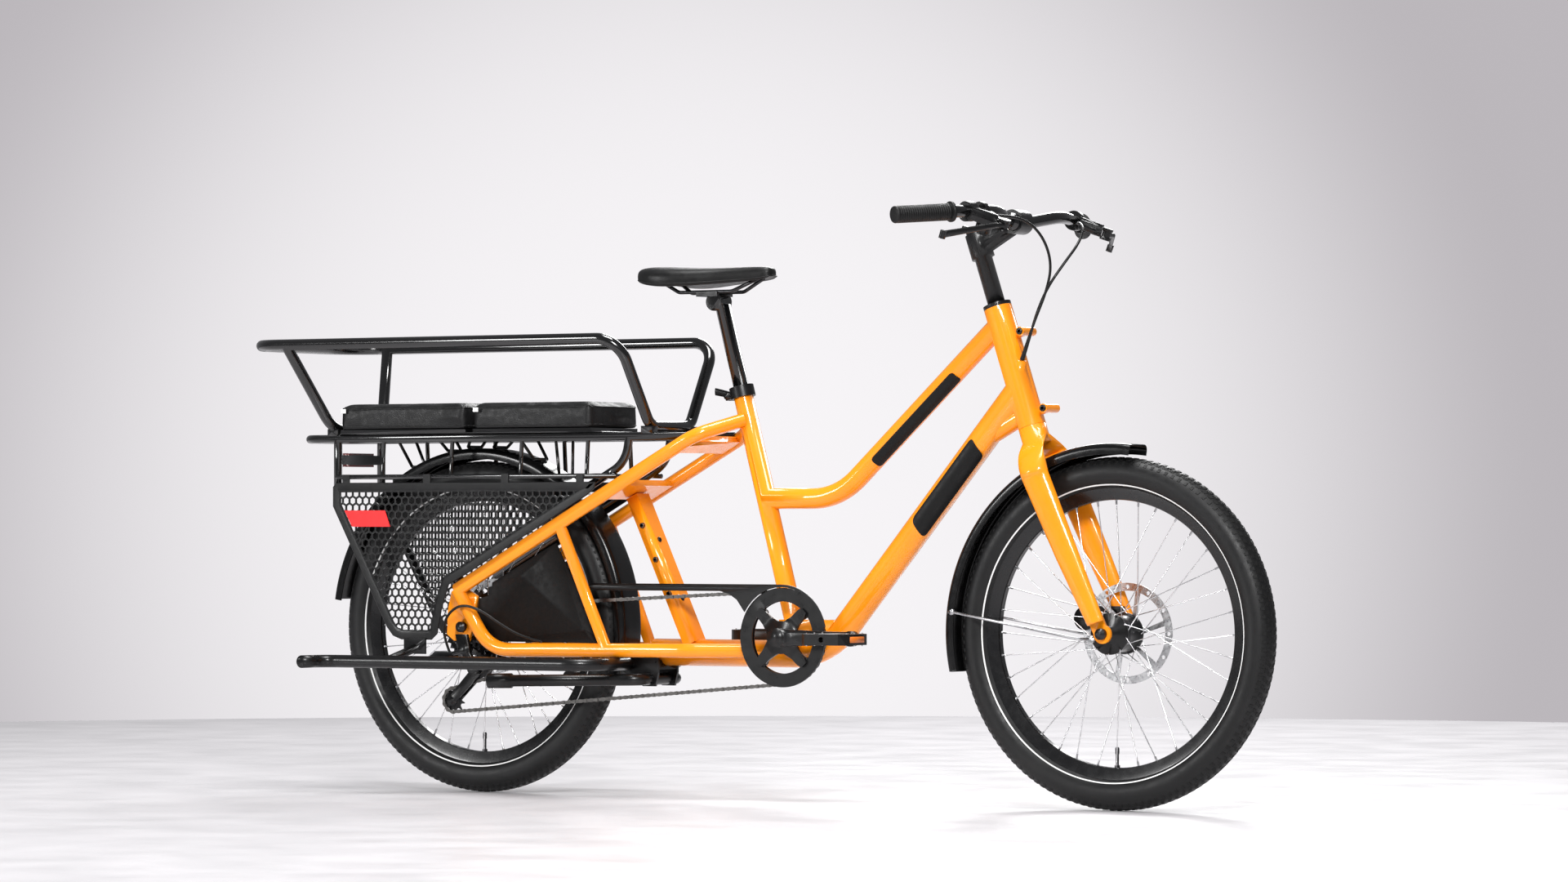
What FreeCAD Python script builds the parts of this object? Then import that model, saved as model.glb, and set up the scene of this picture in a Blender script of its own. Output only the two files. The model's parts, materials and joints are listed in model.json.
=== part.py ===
import FreeCAD, Part
import math
import os
import Sketcher
from FreeCAD import Placement, Rotation, Vector

# Cargo bicycle of the longtail kind. Millimetres, +X forward, +Z up, the rider's left is +Y.
# The origin lies on the ground, under the middle of the whole bicycle.

os.makedirs("parts", exist_ok=True)
doc = FreeCAD.newDocument("CargoBicycle")
sheet = doc.addObject("Spreadsheet::Sheet", "Sizes")

SIZES = [
    # wheels
    ("wheel_radius", 314, "outside of the tyre, 24 by 2.35 inch"),
    ("tyre_width", 60, "across the casing"),
    ("tyre_height", 60, "tread down to the bead seat of the rim"),
    ("rim_flange", 5, "height of the rim's hook over the bead seat"),
    ("rim_depth", 17, "bead seat to the spoke bed"),
    ("rim_width", 30, "outside width of the rim"),
    ("front_axle_x", 755, "front axle forward of the origin"),
    ("wheelbase", 1369, "axle to axle"),
    ("spoke_count", 36, "spokes in each wheel"),
    ("spoke_size", 1.8, "across a spoke"),
    ("axle_radius", 6, "wheel axle"),
    ("running_gap", 0.05, "radial clearance of every running fit"),
    ("seat_gap", 0.3, "gap between a soft or loose piece and its seat"),
    ("front_spacing", 100, "between the fork ends"),
    ("rear_spacing", 135, "between the rear dropouts"),
    ("front_flange_radius", 37, "front hub flange"),
    ("rear_flange_radius", 30, "rear hub flange"),
    ("rotor_radius", 90, "brake disc"),
    ("rotor_band", 14, "width of the braking band"),
    ("rotor_thickness", 1.8, "brake disc"),
    # steering
    ("head_angle", 71.65, "steering axis from the ground, degrees"),
    ("head_bottom_x", 582, "bottom of the head tube"),
    ("head_bottom_z", 682.5, "bottom of the head tube"),
    ("head_tube_length", 225.5, "head tube"),
    ("head_tube_radius", 25.5, "head tube outside"),
    ("steerer_radius", 14.3, "fork steerer, 28.6 mm"),
    ("riser_radius", 16, "spacers over the headset"),
    ("riser_length", 88, "spacers over the headset"),
    ("lever_tilt", 20, "brake levers turned down from level, degrees"),
    ("bar_clamp_radius", 15.9, "handlebar at the stem"),
    ("bar_radius", 11.1, "handlebar at the grips"),
    ("grip_radius", 15.5, "rubber grip"),
    ("grip_length", 124, "rubber grip"),
    # main frame
    ("bottom_bracket_x", 87, "crank axis"),
    ("bottom_bracket_z", 301, "crank axis"),
    ("shell_radius", 27, "bottom bracket shell"),
    ("shell_length", 73, "bottom bracket shell"),
    ("seat_angle", 75, "seat tube from the ground, degrees"),
    ("seat_tube_length", 472, "crank axis to the seat tube's top"),
    ("seat_tube_radius", 18, "seat tube outside"),
    ("seatpost_radius", 14.3, "seatpost"),
    ("seatpost_height", 160, "seatpost standing out of the frame"),
    ("seatpost_insert", 190, "seatpost inside the frame"),
    ("top_tube_radius", 19, "top tube"),
    ("top_tube_z", 555, "level end of the top tube"),
    ("top_tube_bend_x", 176, "corner of the top tube"),
    ("top_tube_angle", 42.6, "slope of its front run, degrees"),
    ("down_tube_radius", 25, "down tube and the tube under it"),
    ("lower_tube_z", 270, "level run under the crank axis"),
    ("lower_tube_rear_x", -224, "free end of the level run"),
    ("down_tube_bend_x", 150, "corner of the down tube"),
    ("down_tube_angle", 49.7, "slope of the down tube, degrees"),
    ("tube_wall", 2, "wall of the large tubes"),
    # rear frame
    ("stay_radius", 13, "seat stays and chain stays"),
    ("stay_spread", 85, "mid-plane to a stay"),
    ("stay_drop", 69.4, "seat tube's top down to the bend of the seat stays"),
    ("stay_setback", 69.2, "seat tube back to the bend of the seat stays"),
    ("stay_foot_x", -618, "rear end of the seat stays"),
    ("stay_foot_z", 384, "rear end of the seat stays"),
    ("chain_stay_z", 275, "level run of the chain stays"),
    ("dropout_thickness", 6, "rear dropout plates"),
    ("strut_depth", 25, "centre strut, fore and aft"),
    ("strut_width", 41, "centre strut, across"),
    # fenders
    ("fender_gap", 24, "tread to the outside of a fender"),
    ("fender_width", 68, "across the fenders"),
    ("fender_skirt", 20, "depth of a fender's side"),
    ("fender_wall", 2, "fender wall"),
    # rack
    ("deck_z", 671, "middle of the deck rails"),
    ("deck_rail_radius", 8, "deck rails"),
    ("deck_half_width", 70, "mid-plane to a deck rail"),
    ("deck_rear_x", -995, "rear bend of the deck rails"),
    ("deck_front_x", -96, "front end of the deck rails"),
    ("side_bar_z", 598, "bar under the deck"),
    ("side_bar_radius", 4.5, "bar under the deck"),
    ("post_x", -909, "rear posts"),
    ("rail_z", 850, "passenger rail"),
    ("rail_radius", 10.5, "passenger rail"),
    ("rail_half_width", 164, "mid-plane to the rail"),
    ("rail_rear_x", -1058.5, "rear run of the rail"),
    ("rail_front_x", -200, "front bend of the rail"),
    ("pad_height", 47, "seat pads"),
    ("front_pad_length", 282, "front seat pad"),
    ("rear_pad_length", 305, "rear seat pad"),
    ("pad_width", 174, "seat pads"),
    ("pad_front_x", -312, "front edge of the front pad"),
    ("pad_split", 4, "between the two pads"),
    ("board_thickness", 6.7, "boards under the pads"),
    ("deck_plate", 2, "sheet over the deck rails"),
    ("guard_offset", 80, "mid-plane to a side guard"),
    ("guard_thickness", 3, "side guards"),
    ("guard_pitch", 22, "spacing of the guard's windows"),
    ("guard_web", 4, "bar between two windows"),
    ("guard_border", 12, "solid border of a guard"),
    # footrests and stand
    ("footrest_z", 248.5, "footrest tubes"),
    ("footrest_radius", 12, "footrest tubes"),
    ("footrest_spread", 169, "mid-plane to a footrest"),
    ("footrest_flare", 71, "rear end turned outward"),
    ("crossing_setback", 45, "stand's pivot back to the footrests' cross run"),
    ("stand_x", -217, "pivot of the centre stand"),
    ("stand_z", 220, "pivot of the centre stand"),
    ("stand_radius", 11, "stand tube"),
    ("stand_length", 275, "pivot to the feet"),
    ("stand_spread", 130, "mid-plane to a foot"),
    # drive
    ("chain_pitch", 12.7, "half-inch chain"),
    ("chain_line", 45, "mid-plane to the chain"),
    ("chain_links", 162, "links in the chain"),
    ("ring_teeth", 42, "chainring"),
    ("driven_teeth", 18, "sprocket that carries the chain"),
    ("pulley_teeth", 11, "derailleur pulleys"),
    ("sprocket_step", 4.67, "between two sprockets"),
    ("sprocket_thickness", 1.8, "every toothed plate"),
    ("guide_pulley_x", 22, "guide pulley ahead of the rear axle"),
    ("guide_pulley_drop", 78, "guide pulley under the rear axle"),
    ("cage_length", 87, "between the derailleur pulleys"),
    ("crank_length", 170, "crank arms"),
    ("crank_offset", 82, "mid-plane to a crank arm's inner face"),
    ("crank_thickness", 14, "crank arms"),
    ("pedal_length", 95, "pedal, fore and aft"),
    ("pedal_width", 92, "pedal, across"),
    ("pedal_height", 20, "pedal"),
]

for row, (alias, number, words) in enumerate(SIZES, start=1):
    sheet.set("A%d" % row, words)
    sheet.set("B%d" % row, str(number))
    sheet.setAlias("B%d" % row, alias)
doc.recompute()


class Values:
    """The numbers of the sheet, read by name."""

    def __getattr__(self, alias):
        return float(getattr(sheet, alias))


v = Values()
X, Y, Z = Vector(1, 0, 0), Vector(0, 1, 0), Vector(0, 0, 1)
RIGHT, LEFT = -1, 1
nodes = []


# ---------------------------------------------------------------- helpers

def node(thing, label):
    """Give a finished object its name and keep it for the export."""
    thing.Label = label
    nodes.append(thing)
    return thing


def feature(label, *solids):
    """A node whose shape comes from Part's own functions."""
    thing = doc.addObject("Part::Feature", label)
    thing.Shape = solids[0] if len(solids) == 1 else Part.makeCompound(list(solids))
    return node(thing, label)


def side_view(x, y, z, turn=0):
    """Placement of a profile drawn as seen from the drive side: its own z points to -Y."""
    tilt = Rotation(X, 90).multiply(Rotation(Z, turn))
    return Placement(Vector(x, y, z), tilt)


def origin_plane(body, role):
    return [item for item in body.Origin.OriginFeatures if item.Role == role][0]


def outline(body, role, points):
    """A closed outline whose corners are bound to the sheet, two expressions to a corner."""
    sketch = body.newObject("Sketcher::SketchObject", body.Name + "_outline")
    sketch.AttachmentSupport = [(origin_plane(body, role), "")]
    sketch.MapMode = "FlatFace"
    spots = [[float(body.evalExpression(text)) for text in pair] for pair in points]
    count = len(spots)
    for here, there in zip(spots, spots[1:] + spots[:1]):
        sketch.addGeometry(Part.LineSegment(Vector(*here, 0), Vector(*there, 0)), False)
    rules = [Sketcher.Constraint("Coincident", i, 2, (i + 1) % count, 1) for i in range(count)]
    for i, (across, up) in enumerate(spots):
        rules.append(Sketcher.Constraint("DistanceX", -1, 1, i, 1, across))
        rules.append(Sketcher.Constraint("DistanceY", -1, 1, i, 1, up))
    sketch.addConstraint(rules)
    for i, (across, up) in enumerate(points):
        sketch.setExpression("Constraints[%d]" % (count + 2 * i), across)
        sketch.setExpression("Constraints[%d]" % (count + 2 * i + 1), up)
    return sketch


def circles(body, role, rings):
    """A sketch of circles: x, y and radius are expressions."""
    sketch = body.newObject("Sketcher::SketchObject", body.Name + "_circles")
    sketch.AttachmentSupport = [(origin_plane(body, role), "")]
    sketch.MapMode = "FlatFace"
    for i, ring in enumerate(rings):
        across, up, radius = [float(body.evalExpression(text)) for text in ring]
        sketch.addGeometry(Part.Circle(Vector(across, up, 0), Z, radius), False)
        sketch.addConstraint([
            Sketcher.Constraint("DistanceX", -1, 1, i, 3, across),
            Sketcher.Constraint("DistanceY", -1, 1, i, 3, up),
            Sketcher.Constraint("Radius", i, radius)])
        for k, text in enumerate(ring):
            sketch.setExpression("Constraints[%d]" % (3 * i + k), text)
    return sketch


def new_body(label, placement=None):
    body = doc.addObject("PartDesign::Body", label)
    if placement:
        body.Placement = placement
    return body


def revolve(body, sketch, angle="360", axis="V_Axis"):
    turn = body.newObject("PartDesign::Revolution", body.Name + "_turn")
    turn.Profile = sketch
    turn.ReferenceAxis = (sketch, [axis])
    turn.setExpression("Angle", angle)
    return turn


def pad(body, sketch, length, both_ways=False):
    lump = body.newObject("PartDesign::Pad", body.Name + "_pad")
    lump.Profile = sketch
    lump.setExpression("Length", length)
    lump.Midplane = both_ways
    return lump


def pocket(body, sketch, both_ways=True):
    cut = body.newObject("PartDesign::Pocket", body.Name + "_pocket")
    cut.Profile = sketch
    cut.Type = "ThroughAll"
    cut.Midplane = both_ways
    return cut


def around(body, source, count):
    """Repeat a feature round the body's own z axis."""
    pattern = body.newObject("PartDesign::PolarPattern", body.Name + "_around")
    pattern.Originals = [source]
    pattern.Axis = (origin_plane(body, "Z_Axis"), [""])
    pattern.Angle = 360
    pattern.setExpression("Occurrences", count)
    body.Tip = pattern
    return pattern


def revolved(label, points, placement, angle="360"):
    """A turned piece: the outline's corners are radius and height on the body's z axis."""
    body = new_body(label, placement)
    revolve(body, outline(body, "XZ_Plane", points), angle)
    return node(body, label)


def rod(start, end, radius):
    return Part.makeCylinder(radius, (end - start).Length, start, end - start)


def route(points, bends):
    """Straight runs joined by tangent arcs; bends holds one radius for each corner."""
    edges = []
    start = points[0]
    for corner, after, bend in zip(points[1:-1], points[2:], bends):
        into = (corner - start).normalize()
        out = (after - corner).normalize()
        half = into.getAngle(out) / 2
        reach = bend * math.tan(half)
        first, last = corner - into * reach, corner + out * reach
        inward = (out - into).normalize()
        middle = corner + inward * (bend / math.cos(half) - bend)
        edges.append(Part.LineSegment(start, first).toShape())
        edges.append(Part.Arc(first, middle, last).toShape())
        start = last
    edges.append(Part.LineSegment(start, points[-1]).toShape())
    return Part.Wire(edges)


def tube(points, bends, radius, bore=0):
    """A round tube along a route, hollow where a bore is given."""
    path = route(points, bends)
    start = points[0]
    heading = points[1] - start
    skin = path.makePipe(Part.Face(Part.Wire(Part.makeCircle(radius, start, heading))))
    if bore:
        hollow = path.makePipe(Part.Face(Part.Wire(Part.makeCircle(bore, start, heading))))
        skin = skin.cut(hollow)
    return skin


def mirrored(shape):
    return shape.mirror(Vector(0, 0, 0), Y)


def fused(shapes):
    return shapes[0].multiFuse(shapes[1:]).removeSplitter()


def section_loft(sections):
    """A loft with straight flanks through closed rings of points."""
    wires = [Part.makePolygon(ring + ring[:1]) for ring in sections]
    return Part.makeLoft(wires, True, True)


def oval(centre, across, along, half_across, half_along, sides=12):
    """A ring of points on an ellipse whose axes are the two given directions."""
    step = 2 * math.pi / sides
    return [centre + across * (half_across * math.cos(step * k))
            + along * (half_along * math.sin(step * k)) for k in range(sides)]


# ---------------------------------------------------------------- places

wheel_z = v.wheel_radius
front_axle = Vector(v.front_axle_x, 0, wheel_z)
rear_axle = Vector(v.front_axle_x - v.wheelbase, 0, wheel_z)
crank_axis = Vector(v.bottom_bracket_x, 0, v.bottom_bracket_z)

lean = math.radians(90 - v.head_angle)
head_up = Vector(-math.sin(lean), 0, math.cos(lean))
head_forward = Vector(math.cos(lean), 0, math.sin(lean))
head_bottom = Vector(v.head_bottom_x, 0, v.head_bottom_z)
head_turn = Rotation(Y, v.head_angle - 90)


def on_head(along, ahead=0, across=0):
    """A point given along the steering axis, ahead of it and to the left of it."""
    return head_bottom + head_up * along + head_forward * ahead + Y * across


seat_lean = math.radians(90 - v.seat_angle)
seat_up = Vector(-math.sin(seat_lean), 0, math.cos(seat_lean))
seat_turn = Rotation(Y, v.seat_angle - 90)


def on_seat(along, ahead=0, across=0):
    return crank_axis + seat_up * along + Vector(seat_up.z, 0, -seat_up.x) * ahead + Y * across


# ---------------------------------------------------------------- wheels

def both_faces(half):
    """An outline's corners on one face, joined to their mirror image on the other."""
    lower = [(radius, "-(%s)" % height) for radius, height in half]
    return lower + half[::-1]


def make_tyre(label, axle):
    """A tyre: bead, flank up from the rim's hook, then a round casing."""
    bead = "Sizes.wheel_radius - Sizes.tyre_height"
    half = [(bead, "Sizes.rim_width * 0.37"),
            (bead + " + Sizes.rim_flange", "Sizes.rim_width / 2")]
    for degrees in (-40, -15, 10, 32, 52, 70, 84):
        turn = math.radians(degrees)
        half.append(("Sizes.wheel_radius - Sizes.tyre_width * %.4f" % (0.5 - math.sin(turn) / 2),
                     "Sizes.tyre_width * %.4f" % (math.cos(turn) / 2)))
    revolved(label, both_faces(half), side_view(axle.x, 0, axle.z))


def make_rim(label, axle):
    bead = "Sizes.wheel_radius - Sizes.tyre_height"
    revolved(label, both_faces([
        (bead + " - Sizes.rim_depth", "Sizes.rim_width * 0.23"),
        (bead + " + Sizes.rim_flange", "Sizes.rim_width / 2"),
        (bead, "Sizes.rim_width * 0.37")]), side_view(axle.x, 0, axle.z))


def make_hub(label, axle, flange, half_flange, barrel, right_end, left_end, disc_face):
    """A hub shell turned about its axle; its own +z points to the drive side."""
    bore = "Sizes.axle_radius + Sizes.running_gap"
    stub = "Sizes.axle_radius + 8"
    revolved(label, [
        (bore, "-(%s)" % left_end), (stub, "-(%s)" % left_end),
        (stub, "-(%s)" % disc_face), ("22", "-(%s)" % disc_face),
        ("22", "-(%s + 2)" % half_flange),
        (flange, "-(%s + 2)" % half_flange), (flange, "-(%s - 2)" % half_flange),
        (barrel, "-(%s - 6)" % half_flange), (barrel, "%s - 6" % half_flange),
        (flange, "%s - 2" % half_flange), (flange, "%s + 2" % half_flange),
        (stub, "%s + 2" % half_flange), (stub, right_end), (bore, right_end),
    ], side_view(axle.x, 0, axle.z))


def spoke(axle, hub_angle, rim_angle, hub_radius, hub_y, rim_y):
    """One square spoke from a hub flange to the rim."""
    reach = (v.wheel_radius - v.tyre_height) - v.rim_depth - v.seat_gap
    near = axle + Vector(math.cos(hub_angle), 0, math.sin(hub_angle)) * hub_radius + Y * hub_y
    far = axle + Vector(math.cos(rim_angle), 0, math.sin(rim_angle)) * reach + Y * rim_y
    along = (far - near).normalize()
    side = along.cross(Y).normalize() * (v.spoke_size / 2)
    flat = along.cross(side).normalize() * (v.spoke_size / 2)
    ring = [near + side + flat, near - side + flat, near - side - flat, near + side - flat]
    profile = Part.Face(Part.makePolygon(ring + ring[:1]))
    return profile.extrude(far - near)


def make_spokes(label, axle, flange_radius, half_flange, crossings):
    """Crossed lacing: every flange hole leads or trails its rim hole by whole steps."""
    per_side = int(v.spoke_count) // 2
    step = 2 * math.pi / per_side
    spokes = []
    for side in (RIGHT, LEFT):
        shift = 0 if side == LEFT else step / 2
        for k in range(per_side):
            lead = 1 if k % 2 else -1
            rim_angle = step * k + shift
            hub_angle = rim_angle + lead * step * crossings
            spokes.append(spoke(axle, hub_angle, rim_angle, flange_radius + v.spoke_size / 2,
                                side * (half_flange + lead * v.spoke_size), side * 3))
    feature(label, *spokes)


def make_rotor(label, axle, face):
    """Brake disc: a drilled band carried on six slanted arms, laid on the hub's disc face."""
    inner = "Sizes.rotor_radius - Sizes.rotor_band"
    thickness = "Sizes.rotor_thickness"
    body = new_body(label, side_view(axle.x, face + v.rotor_thickness, axle.z))
    pad(body, circles(body, "XY_Plane", [("0", "0", "Sizes.rotor_radius"), ("0", "0", inner)]),
        thickness)
    arm = pad(body, outline(body, "XY_Plane", [
        ("20", "-4"), ("24", "4"), (inner + " + 3", "26"), (inner + " + 6", "16")]), thickness)
    around(body, arm, "6")
    pad(body, circles(body, "XY_Plane", [
        ("0", "0", "26"), ("0", "0", "Sizes.axle_radius + 8 + Sizes.running_gap")]), thickness)
    hole = pocket(body, circles(body, "XY_Plane", [
        ("Sizes.rotor_radius - Sizes.rotor_band / 2", "0", "3.5")]))
    around(body, hole, "12")
    node(body, label)


def make_axle(label, axle, half_spacing, plate_width, cone):
    """Axle with its cones inside the frame ends and its nuts outside them."""
    outer = "%s + %s" % (half_spacing, plate_width)
    shaft = "Sizes.axle_radius"
    revolved(label, both_faces([
        ("0", outer + " + 14"), (shaft, outer + " + 14"), (shaft, outer + " + 9"),
        ("10", outer + " + 9"), ("10", outer), (shaft, outer),
        (shaft, half_spacing), ("10", half_spacing), ("10", half_spacing + " - %s" % cone),
        (shaft, half_spacing + " - %s" % cone)]), side_view(axle.x, 0, axle.z))


def make_wheels():
    make_tyre("front_tyre", front_axle)
    make_rim("front_rim", front_axle)
    make_hub("front_hub", front_axle, "Sizes.front_flange_radius", "28",
             "Sizes.front_flange_radius - 4", "46", "46", "38")
    make_spokes("front_spokes", front_axle, v.front_flange_radius, 28, 2)
    make_rotor("front_rotor", front_axle, 38)
    make_tyre("rear_tyre", rear_axle)
    make_rim("rear_rim", rear_axle)
    make_hub("rear_hub", rear_axle, "Sizes.rear_flange_radius", "24", "19", "28", "63", "34")
    make_spokes("rear_spokes", rear_axle, v.rear_flange_radius, 24, 3)
    make_rotor("rear_rotor", rear_axle, 34)
    make_axle("front_axle", front_axle, "Sizes.front_spacing / 2", "6", "3.5")
    make_axle("rear_axle", rear_axle, "Sizes.rear_spacing / 2", "6", "4")


make_wheels()


# ---------------------------------------------------------------- main frame

def meet(start, heading, origin, axis):
    """Where a line in the middle plane meets a second one."""
    across = heading.x * axis.z - heading.z * axis.x
    gap = origin - start
    reach = (gap.x * axis.z - gap.z * axis.x) / across
    return start + heading * reach


def slope(degrees):
    angle = math.radians(degrees)
    return Vector(math.cos(angle), 0, math.sin(angle))


top_corner = Vector(v.top_tube_bend_x, 0, v.top_tube_z)
top_rear = meet(top_corner, X * -1, crank_axis, seat_up)
top_front = meet(top_corner, slope(v.top_tube_angle), head_bottom, head_up)
down_corner = Vector(v.down_tube_bend_x, 0, v.lower_tube_z)
down_front = meet(down_corner, slope(v.down_tube_angle), head_bottom, head_up)
lower_rear = Vector(v.lower_tube_rear_x, 0, v.lower_tube_z)


def rack_boss(along, ahead):
    """A threaded cross tube on a web in front of the head tube, for a front rack."""
    centre = on_head(along, ahead)
    boss = rod(centre + Y * -24, centre + Y * 24, 8)
    web = Part.makeBox(ahead, 8, 12, Vector(0, -4, -6))
    web.Placement = Placement(on_head(along), head_turn)
    return boss.fuse(web), rod(centre + Y * -25, centre + Y * 25, 2.5)


def make_main_frame():
    """The welded front frame; returns its solid envelope, which the other tubes are coped to."""
    head_tube = rod(on_head(0), on_head(v.head_tube_length), v.head_tube_radius)
    top_tube = tube([top_rear, top_corner, top_front], [140], v.top_tube_radius)
    down_tube = tube([lower_rear, down_corner, down_front], [150], v.down_tube_radius)
    seat_tube = rod(crank_axis, on_seat(v.seat_tube_length), v.seat_tube_radius)
    shell = rod(crank_axis + Y * (-v.shell_length / 2), crank_axis + Y * (v.shell_length / 2),
                v.shell_radius)
    gusset_side = [Vector(60, -22, 333), Vector(178, -22, 333), Vector(153, -22, 300),
                   Vector(60, -22, 300)]
    gusset = Part.Face(Part.makePolygon(gusset_side + gusset_side[:1])).extrude(Y * 44)
    bosses = [rack_boss(v.head_tube_length - 59.5, 42), rack_boss(20, 44)]
    port = rod(on_head(100, 13, -12), on_head(116, 25, -15.5), 8.5)
    envelope = fused([head_tube, top_tube, down_tube, seat_tube, shell, gusset, port]
                     + [boss for boss, hole in bosses])
    wall = v.tube_wall
    bores = [
        rod(on_head(-1), on_head(v.head_tube_length + 1), v.head_tube_radius - wall),
        rod(on_seat(v.seat_tube_length - 268), on_seat(v.seat_tube_length + 1),
            v.seatpost_radius + v.running_gap),
        rod(crank_axis + Y * -v.shell_length, crank_axis + Y * v.shell_length,
            v.shell_radius - wall * 3)]
    above = rod(on_head(v.head_tube_length), on_head(v.head_tube_length + 80), 60)
    frame = envelope.cut(above)
    for bore in bores + [hole for boss, hole in bosses]:
        frame = frame.cut(bore)
    feature("main_frame", frame)
    return envelope


def make_headset():
    """Bearing cups of the head tube and of the crank shell."""
    bore = v.steerer_radius + v.running_gap
    plug = v.head_tube_radius - v.tube_wall
    upper = rod(on_head(v.head_tube_length), on_head(v.head_tube_length + 7), v.head_tube_radius)
    upper = upper.fuse(rod(on_head(v.head_tube_length - 14), on_head(v.head_tube_length), plug))
    upper = upper.cut(rod(on_head(0), on_head(v.head_tube_length + 8), bore))
    lower = rod(on_head(0), on_head(14), plug).cut(rod(on_head(-1), on_head(15), bore))
    cups = [upper, lower]
    for side in (RIGHT, LEFT):
        face = crank_axis + Y * (side * v.shell_length / 2)
        cup = rod(face, face + Y * (side * 4), v.shell_radius - 4)
        cup = cup.fuse(rod(face - Y * (side * 16), face, v.shell_radius - v.tube_wall * 3))
        cups.append(cup.cut(rod(face - Y * (side * 20), face + Y * (side * 5),
                                9.5 + v.running_gap)))
    feature("bearing_cups", *cups)


def lever_pin():
    """Middle of the bolt that the seat collar's lever turns on."""
    return on_seat(v.seat_tube_length - 6, -v.seat_tube_radius - 10)


def make_seat_collar():
    """Clamp round the top of the seat tube, open at the back and drawn shut by its lever."""
    low, top, high = v.seat_tube_length - 16, v.seat_tube_length, v.seat_tube_length + 5
    ring = rod(on_seat(low), on_seat(high), v.seat_tube_radius + 5)
    ears = Part.makeBox(14, 20, 14, Vector(-v.seat_tube_radius - 15, -10, 0))
    ears.Placement = Placement(on_seat(low + 3), seat_turn)
    slot = Part.makeBox(40, 3, 60, Vector(-40, -1.5, -30))
    slot.Placement = Placement(on_seat(low), seat_turn)
    collar = ring.fuse(ears).cut(rod(on_seat(low - 1), on_seat(top), v.seat_tube_radius))
    collar = collar.cut(rod(on_seat(low - 1), on_seat(high + 1), v.seatpost_radius + 1))
    pin = lever_pin()
    bolt = rod(pin + Y * -16, pin + Y * 22, 2.5)
    washers = [rod(pin + Y * y, pin + Y * (y + 2.9), 6) for y in (-12.9, 10)]
    feature("seat_collar", fused([collar.cut(slot), bolt] + washers))


def plate_solid(corners, y, thickness):
    """A flat plate from (x, z) corners, its faces at y and y + thickness."""
    ring = [Vector(x, y, z) for x, z in corners]
    return Part.Face(Part.makePolygon(ring + ring[:1])).extrude(Y * thickness)


stay_top = on_seat(v.seat_tube_length - v.stay_drop, -v.stay_setback, -v.stay_spread)
stay_foot = Vector(v.stay_foot_x, -v.stay_spread, v.stay_foot_z)


def on_stay(x):
    """A point on the right seat stay's centre line."""
    share = (x - stay_top.x) / (stay_foot.x - stay_top.x)
    return stay_top + (stay_foot - stay_top) * share


def make_rear_triangles(envelope):
    """Stays, strut and dropout of each side, coped to the front frame; returns the right one."""
    root = on_seat(v.seat_tube_length - v.stay_drop + 11, -2, -14)
    seat_stay = tube([root, stay_top, stay_foot], [60], v.stay_radius)
    chain_stay = tube([Vector(-5, -20, v.chain_stay_z), Vector(-110, -70, v.chain_stay_z),
                       Vector(-545, -82, v.chain_stay_z - 3), stay_foot], [80, 80], v.stay_radius)
    strut = rod(on_stay(-386) + Y * 1, Vector(-285, -76, v.chain_stay_z), v.stay_radius - 2)
    inner = v.rear_spacing / 2
    dropout = plate_solid([(-650, 300), (-634, 288), (-600, 286), (-586, 325), (-580, 372),
                           (-612, 392), (-640, 380), (-648, 345)], -inner - v.dropout_thickness,
                          v.dropout_thickness)
    dropout = dropout.cut(rod(rear_axle + Y * -100, rear_axle, v.axle_radius))
    right = fused([seat_stay, chain_stay, strut, dropout]).cut(envelope)
    right = max(right.Solids, key=lambda solid: solid.Volume)
    feature("rear_triangle_right", right)
    feature("rear_triangle_left", mirrored(right))
    return right


def make_centre_strut(envelope, right):
    """Box strut under the fender's root, and the two bridge plates between the stays."""
    top, foot = Vector(-266, 0, 560), Vector(-143, 0, 297)
    along = (foot - top).normalize()
    ahead = Vector(along.z, 0, -along.x) * (v.strut_depth / 2)
    across = Y * (v.strut_width / 2)
    ring = [ahead + across, ahead - across, -ahead - across, -ahead + across]
    section = Part.makePolygon([top + corner for corner in ring + ring[:1]])
    strut = Part.Face(section).extrude(foot + along * 12 - top)
    plates = []
    for x, length in ((-262, 54), (-108, 44)):
        centre = on_stay(x)
        bridge = Part.makeBox(length, 2 * v.stay_spread, 12,
                              Vector(-length / 2, -v.stay_spread, -6))
        tilt = math.degrees(math.atan2(stay_top.z - stay_foot.z, stay_top.x - stay_foot.x))
        bridge.Placement = Placement(Vector(centre.x, 0, centre.z - 4), Rotation(Y, -tilt))
        plates.append(bridge)
    bolts = [rod(top + along * reach + across, top + along * reach - across - Y * 4, 5)
             for reach in (60, 130, 200)]
    solid = fused([strut] + plates + bolts).cut(envelope).cut(right).cut(mirrored(right))
    feature("centre_strut", *solid.Solids)
    return solid


front_envelope = make_main_frame()
make_headset()
make_seat_collar()
right_triangle = make_rear_triangles(front_envelope)
strut_solid = make_centre_strut(front_envelope, right_triangle)


# ---------------------------------------------------------------- fork and cockpit

def blade_ring(along, ahead, across, half_depth, half_width, tilt=0):
    """One oval section of the right fork blade; tilt leans it in towards the crown."""
    middle = on_head(along, ahead, across)
    lean_in = math.radians(tilt)
    sideways = Y * math.cos(lean_in) + head_up * math.sin(lean_in)
    oval_edge = Part.Ellipse(middle + head_forward * half_depth,
                             middle + sideways * half_width, middle)
    return Part.Wire(oval_edge.toShape())


fork_drop = (head_bottom - front_axle).dot(head_up)
fork_offset = (front_axle - head_bottom).dot(head_forward)
fork_inner = v.front_spacing / 2


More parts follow.
